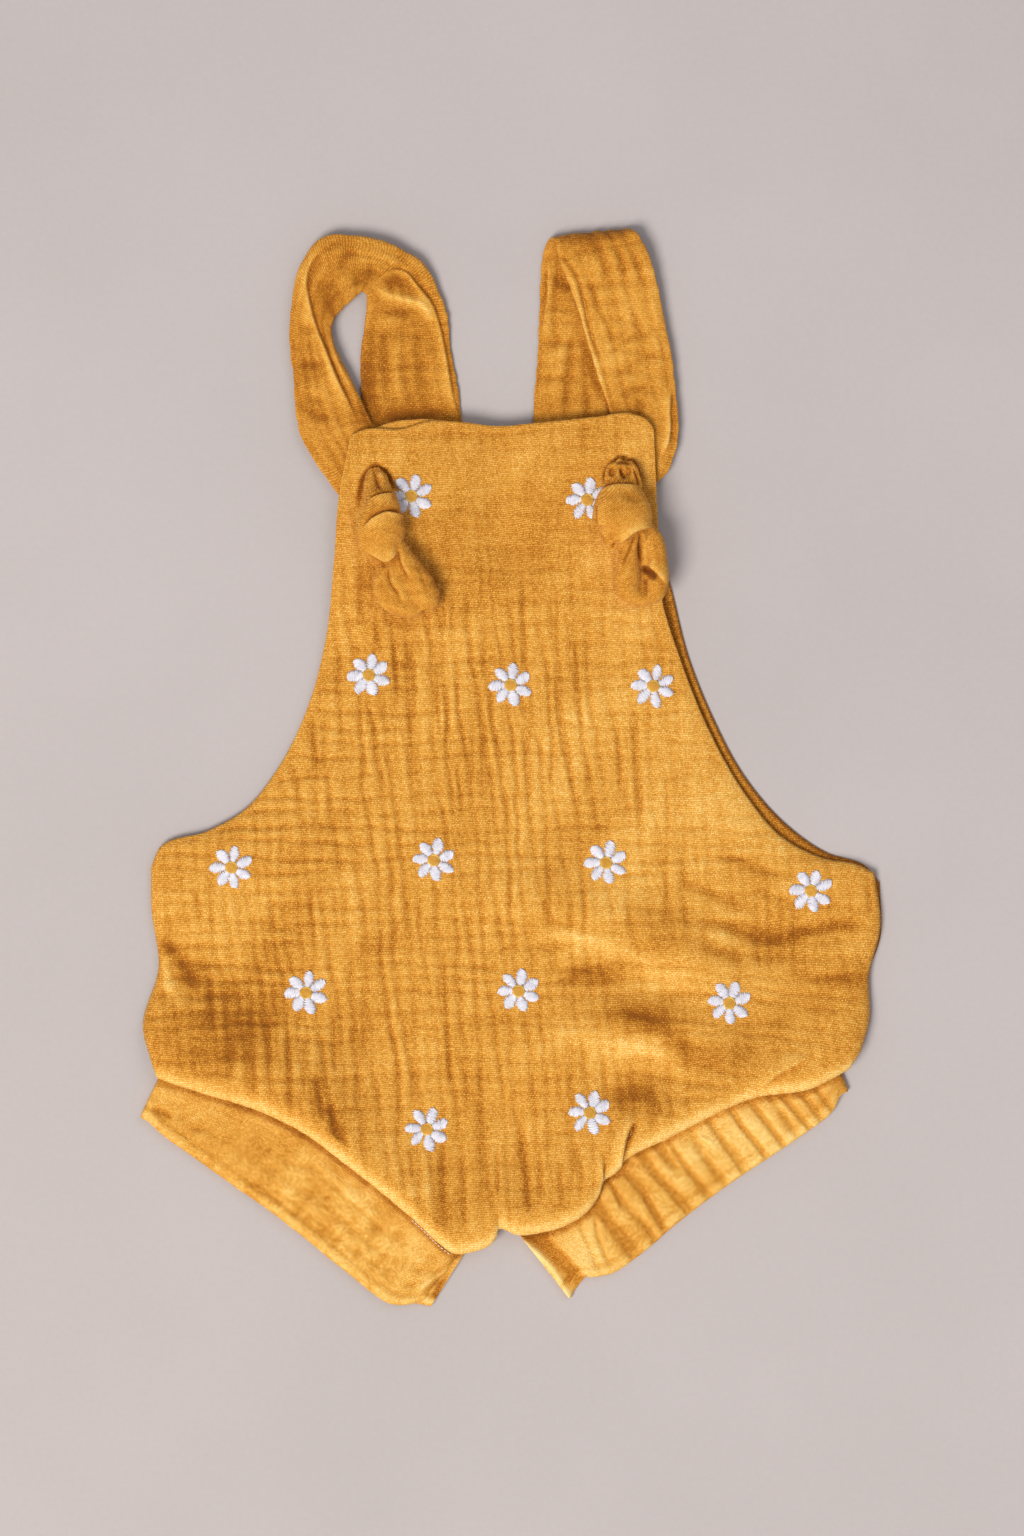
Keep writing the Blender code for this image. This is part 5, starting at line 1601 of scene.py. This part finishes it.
def petal_threads(rng, degrees):
    """One petal's stitches about the daisy's middle, root to tip: plan points and lifts."""
    ahead, left = facing(degrees + rng.uniform(-PETAL_TURN, PETAL_TURN))
    reach = PETAL_TO * rng.uniform(*PETAL_LENGTHS)
    size = PETAL_HALF_WIDTH * rng.uniform(*PETAL_WIDTHS)
    arch = STITCH_LIFT + STITCH_ARCH * np.sin(np.linspace(0, math.pi, STITCH_POINTS))
    across = np.linspace(-1, 1, STITCH_POINTS)[:, None]
    threads = []
    for k in range(PETAL_STITCHES):
        t = (k + 0.5) / PETAL_STITCHES
        half = size * (PETAL_ROOT + (1 - PETAL_ROOT) * ease(0.0, 0.5, t))
        half *= math.sqrt(1 - max(0.0, (t - PETAL_TIP_FROM) / PETAL_TIP) ** 2)
        half += rng.uniform(-PETAL_RAGGED, PETAL_RAGGED)
        slant = STITCH_SLANT + rng.uniform(-PETAL_RAGGED, PETAL_RAGGED)
        along = PETAL_FROM + (reach - PETAL_FROM) * t + slant * across / 2
        threads.append((ahead * along + left * half * across, arch * (0.75 + 0.25 * half / size)))
    return threads


def centre_threads(rng, degrees):
    """The stitches across a daisy's golden centre."""
    ahead, left = facing(degrees)
    run = np.linspace(-1, 1, STITCH_POINTS)[:, None]
    lift = CENTRE_LIFT + CENTRE_ARCH * np.sin(np.linspace(0.3, math.pi - 0.3, STITCH_POINTS))
    threads = []
    for k in range(CENTRE_STITCHES):
        across = CENTRE_RADIUS * (2 * (k + 0.5) / CENTRE_STITCHES - 1)
        half = math.sqrt(max(CENTRE_RADIUS**2 - across**2, 0.3)) * rng.uniform(0.92, 1.0)
        threads.append((left * across + ahead * half * run, lift))
    return threads


def rim_threads(rng):
    """The short stitches round the centre's edge."""
    threads = []
    for k in range(RIM_STITCHES):
        ahead, _ = facing(360 * k / RIM_STITCHES)
        reach = CENTRE_RADIUS + rng.uniform(*RIM_OUTSIDE)
        steps = np.linspace(CENTRE_RADIUS - RIM_INSIDE, reach, len(RIM_LIFTS))
        threads.append((ahead * steps[:, None], RIM_LIFTS))
    return threads


def daisies(ground):
    """White seven-petalled daisies with golden centres, in satin stitch on the front."""
    rng = np.random.default_rng(71)
    surface = BVHTree.FromObject(ground, bpy.context.evaluated_depsgraph_get())

    def laid(place, threads):
        """The threads at a place in plan, lying on the cloth there."""
        paths = []
        for line, lift in threads:
            path = []
            for (x, y), up in zip(line + place, lift):
                hit = surface.ray_cast(Vector((x * MM, y * MM, 0.1)), Vector((0, 0, -1)))
                path.append((x, y, hit[0].z / MM + up))
            paths.append(path)
        return paths

    petals, centres, rims = [], [], []
    for x, y, turn in DAISIES:
        for petal in range(PETALS):
            petals += laid((x, y), petal_threads(rng, turn + 90 + petal * 360 / PETALS))
        centres += laid((x, y), centre_threads(rng, turn + 80))
        rims += laid((x, y), rim_threads(rng))
    white = yarn("thread_white", (0.52, 0.50, 0.58), (0.84, 0.82, 0.86))
    golden = yarn("thread_gold", (0.44, 0.20, 0.015), (0.72, 0.38, 0.05))
    pale = yarn("thread_gold_pale", (0.50, 0.27, 0.03), (0.84, 0.55, 0.13))
    return [
        stitched("daisy_petals", petals, 0.47, 0.40, white),
        stitched("daisy_centres", centres, 0.50, 0.44, golden),
        stitched("daisy_rims", rims, 0.50, 0.40, pale),
    ]


def seam_stitches():
    """The short row of pale stitches that shows where the left band joins the body."""
    line = curve(SEAM_STITCH_LINE, 2 * SEAM_STITCHES + 1)
    level = BAND_FRONT_Z + BAND / 2 + 0.25
    paths = []
    for start, end in zip(line[::2], line[1::2]):
        paths.append([(*start, level), (*(start + end) / 2, level + 0.3), (*end, level)])
    pale = yarn("thread_seam", (0.72, 0.60, 0.45), (0.95, 0.88, 0.78))
    return stitched("seam_stitches", paths, 0.5, 0.42, pale)


# --------------------------------------------------------------------------------- build
def dressed(made, slot, *nodes):
    """Puts a piece on the body in the place of its solids."""
    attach(made, "root")
    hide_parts(*nodes)
    return made


add_camera()
add_surroundings()
cloth = gauze("gauze_panel")
# the straps, knots and bands take darker copies of the panel's gauze: painted shade, the same cloth
# made deeper in colour
shaded_strap_cloth = gauze("gauze_strap_cloth", hollow_shade=0.26, weave=0.8, base=0.40)
shaded_band_cloth = gauze("gauze_band_cloth", hollow_shade=0.30, base=0.42)

front = dressed(front_panel(cloth), "gauze_body", "front_panel")
back = dressed(back_panel(cloth), "gauze_body", "back_panel")
facing_cloth = dressed(bib_facing(cloth), "gauze_body", "bib_facing")
strap_left = dressed(
    strap("strap_left_cloth", STRAP_LEFT, STRAP_LEFT_CREASES, STRAP_LEFT_LIPS, 31, shaded_strap_cloth),
    "gauze_strap", "strap_left",
)
strap_right = dressed(
    strap("strap_right_cloth", STRAP_RIGHT, STRAP_RIGHT_CREASES, STRAP_RIGHT_LIPS, 41, shaded_strap_cloth),
    "gauze_strap", "strap_right",
)
band_left = dressed(
    leg_band(
        "band_left_cloth", BAND_LEFT_FRONT, BAND_LEFT_BACK, BAND_LEFT_CREASES, BAND_LEFT_DIMPLES,
        BAND_LEFT_BENEATH, BAND_LEFT_PAINTED_LIGHT_AND_SHADE, shares=(0.24, 0.20), shade=0.25, seed=51,
        material=shaded_band_cloth,
    ),
    "gauze_band", "leg_band_left",
)
band_right = dressed(
    leg_band(
        "band_right_cloth", BAND_RIGHT_FRONT, BAND_RIGHT_BACK, BAND_RIGHT_CREASES,
        BAND_RIGHT_DIMPLES, BAND_RIGHT_BENEATH, BAND_RIGHT_PAINTED_LIGHT_AND_SHADE, shares=(0.22, 0.12), shade=0.6,
        seed=55, material=shaded_band_cloth,
    ),
    "gauze_band", "leg_band_right",
)
knot_left = dressed(
    knot("knot_left_cloth", KNOT_LEFT_TUBES, KNOT_LEFT_CREASES, KNOT_LEFT_LIPS, 81, shaded_strap_cloth),
    "gauze_strap", "knot_left", "tail_left",
)
knot_right = dressed(
    knot("knot_right_cloth", KNOT_RIGHT_TUBES, KNOT_RIGHT_CREASES, KNOT_RIGHT_LIPS, 82, shaded_strap_cloth),
    "gauze_strap", "knot_right", "tail_right",
)
flowers = daisies(front)
stitches = seam_stitches()
for made in (*flowers, stitches):
    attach(made, "root")
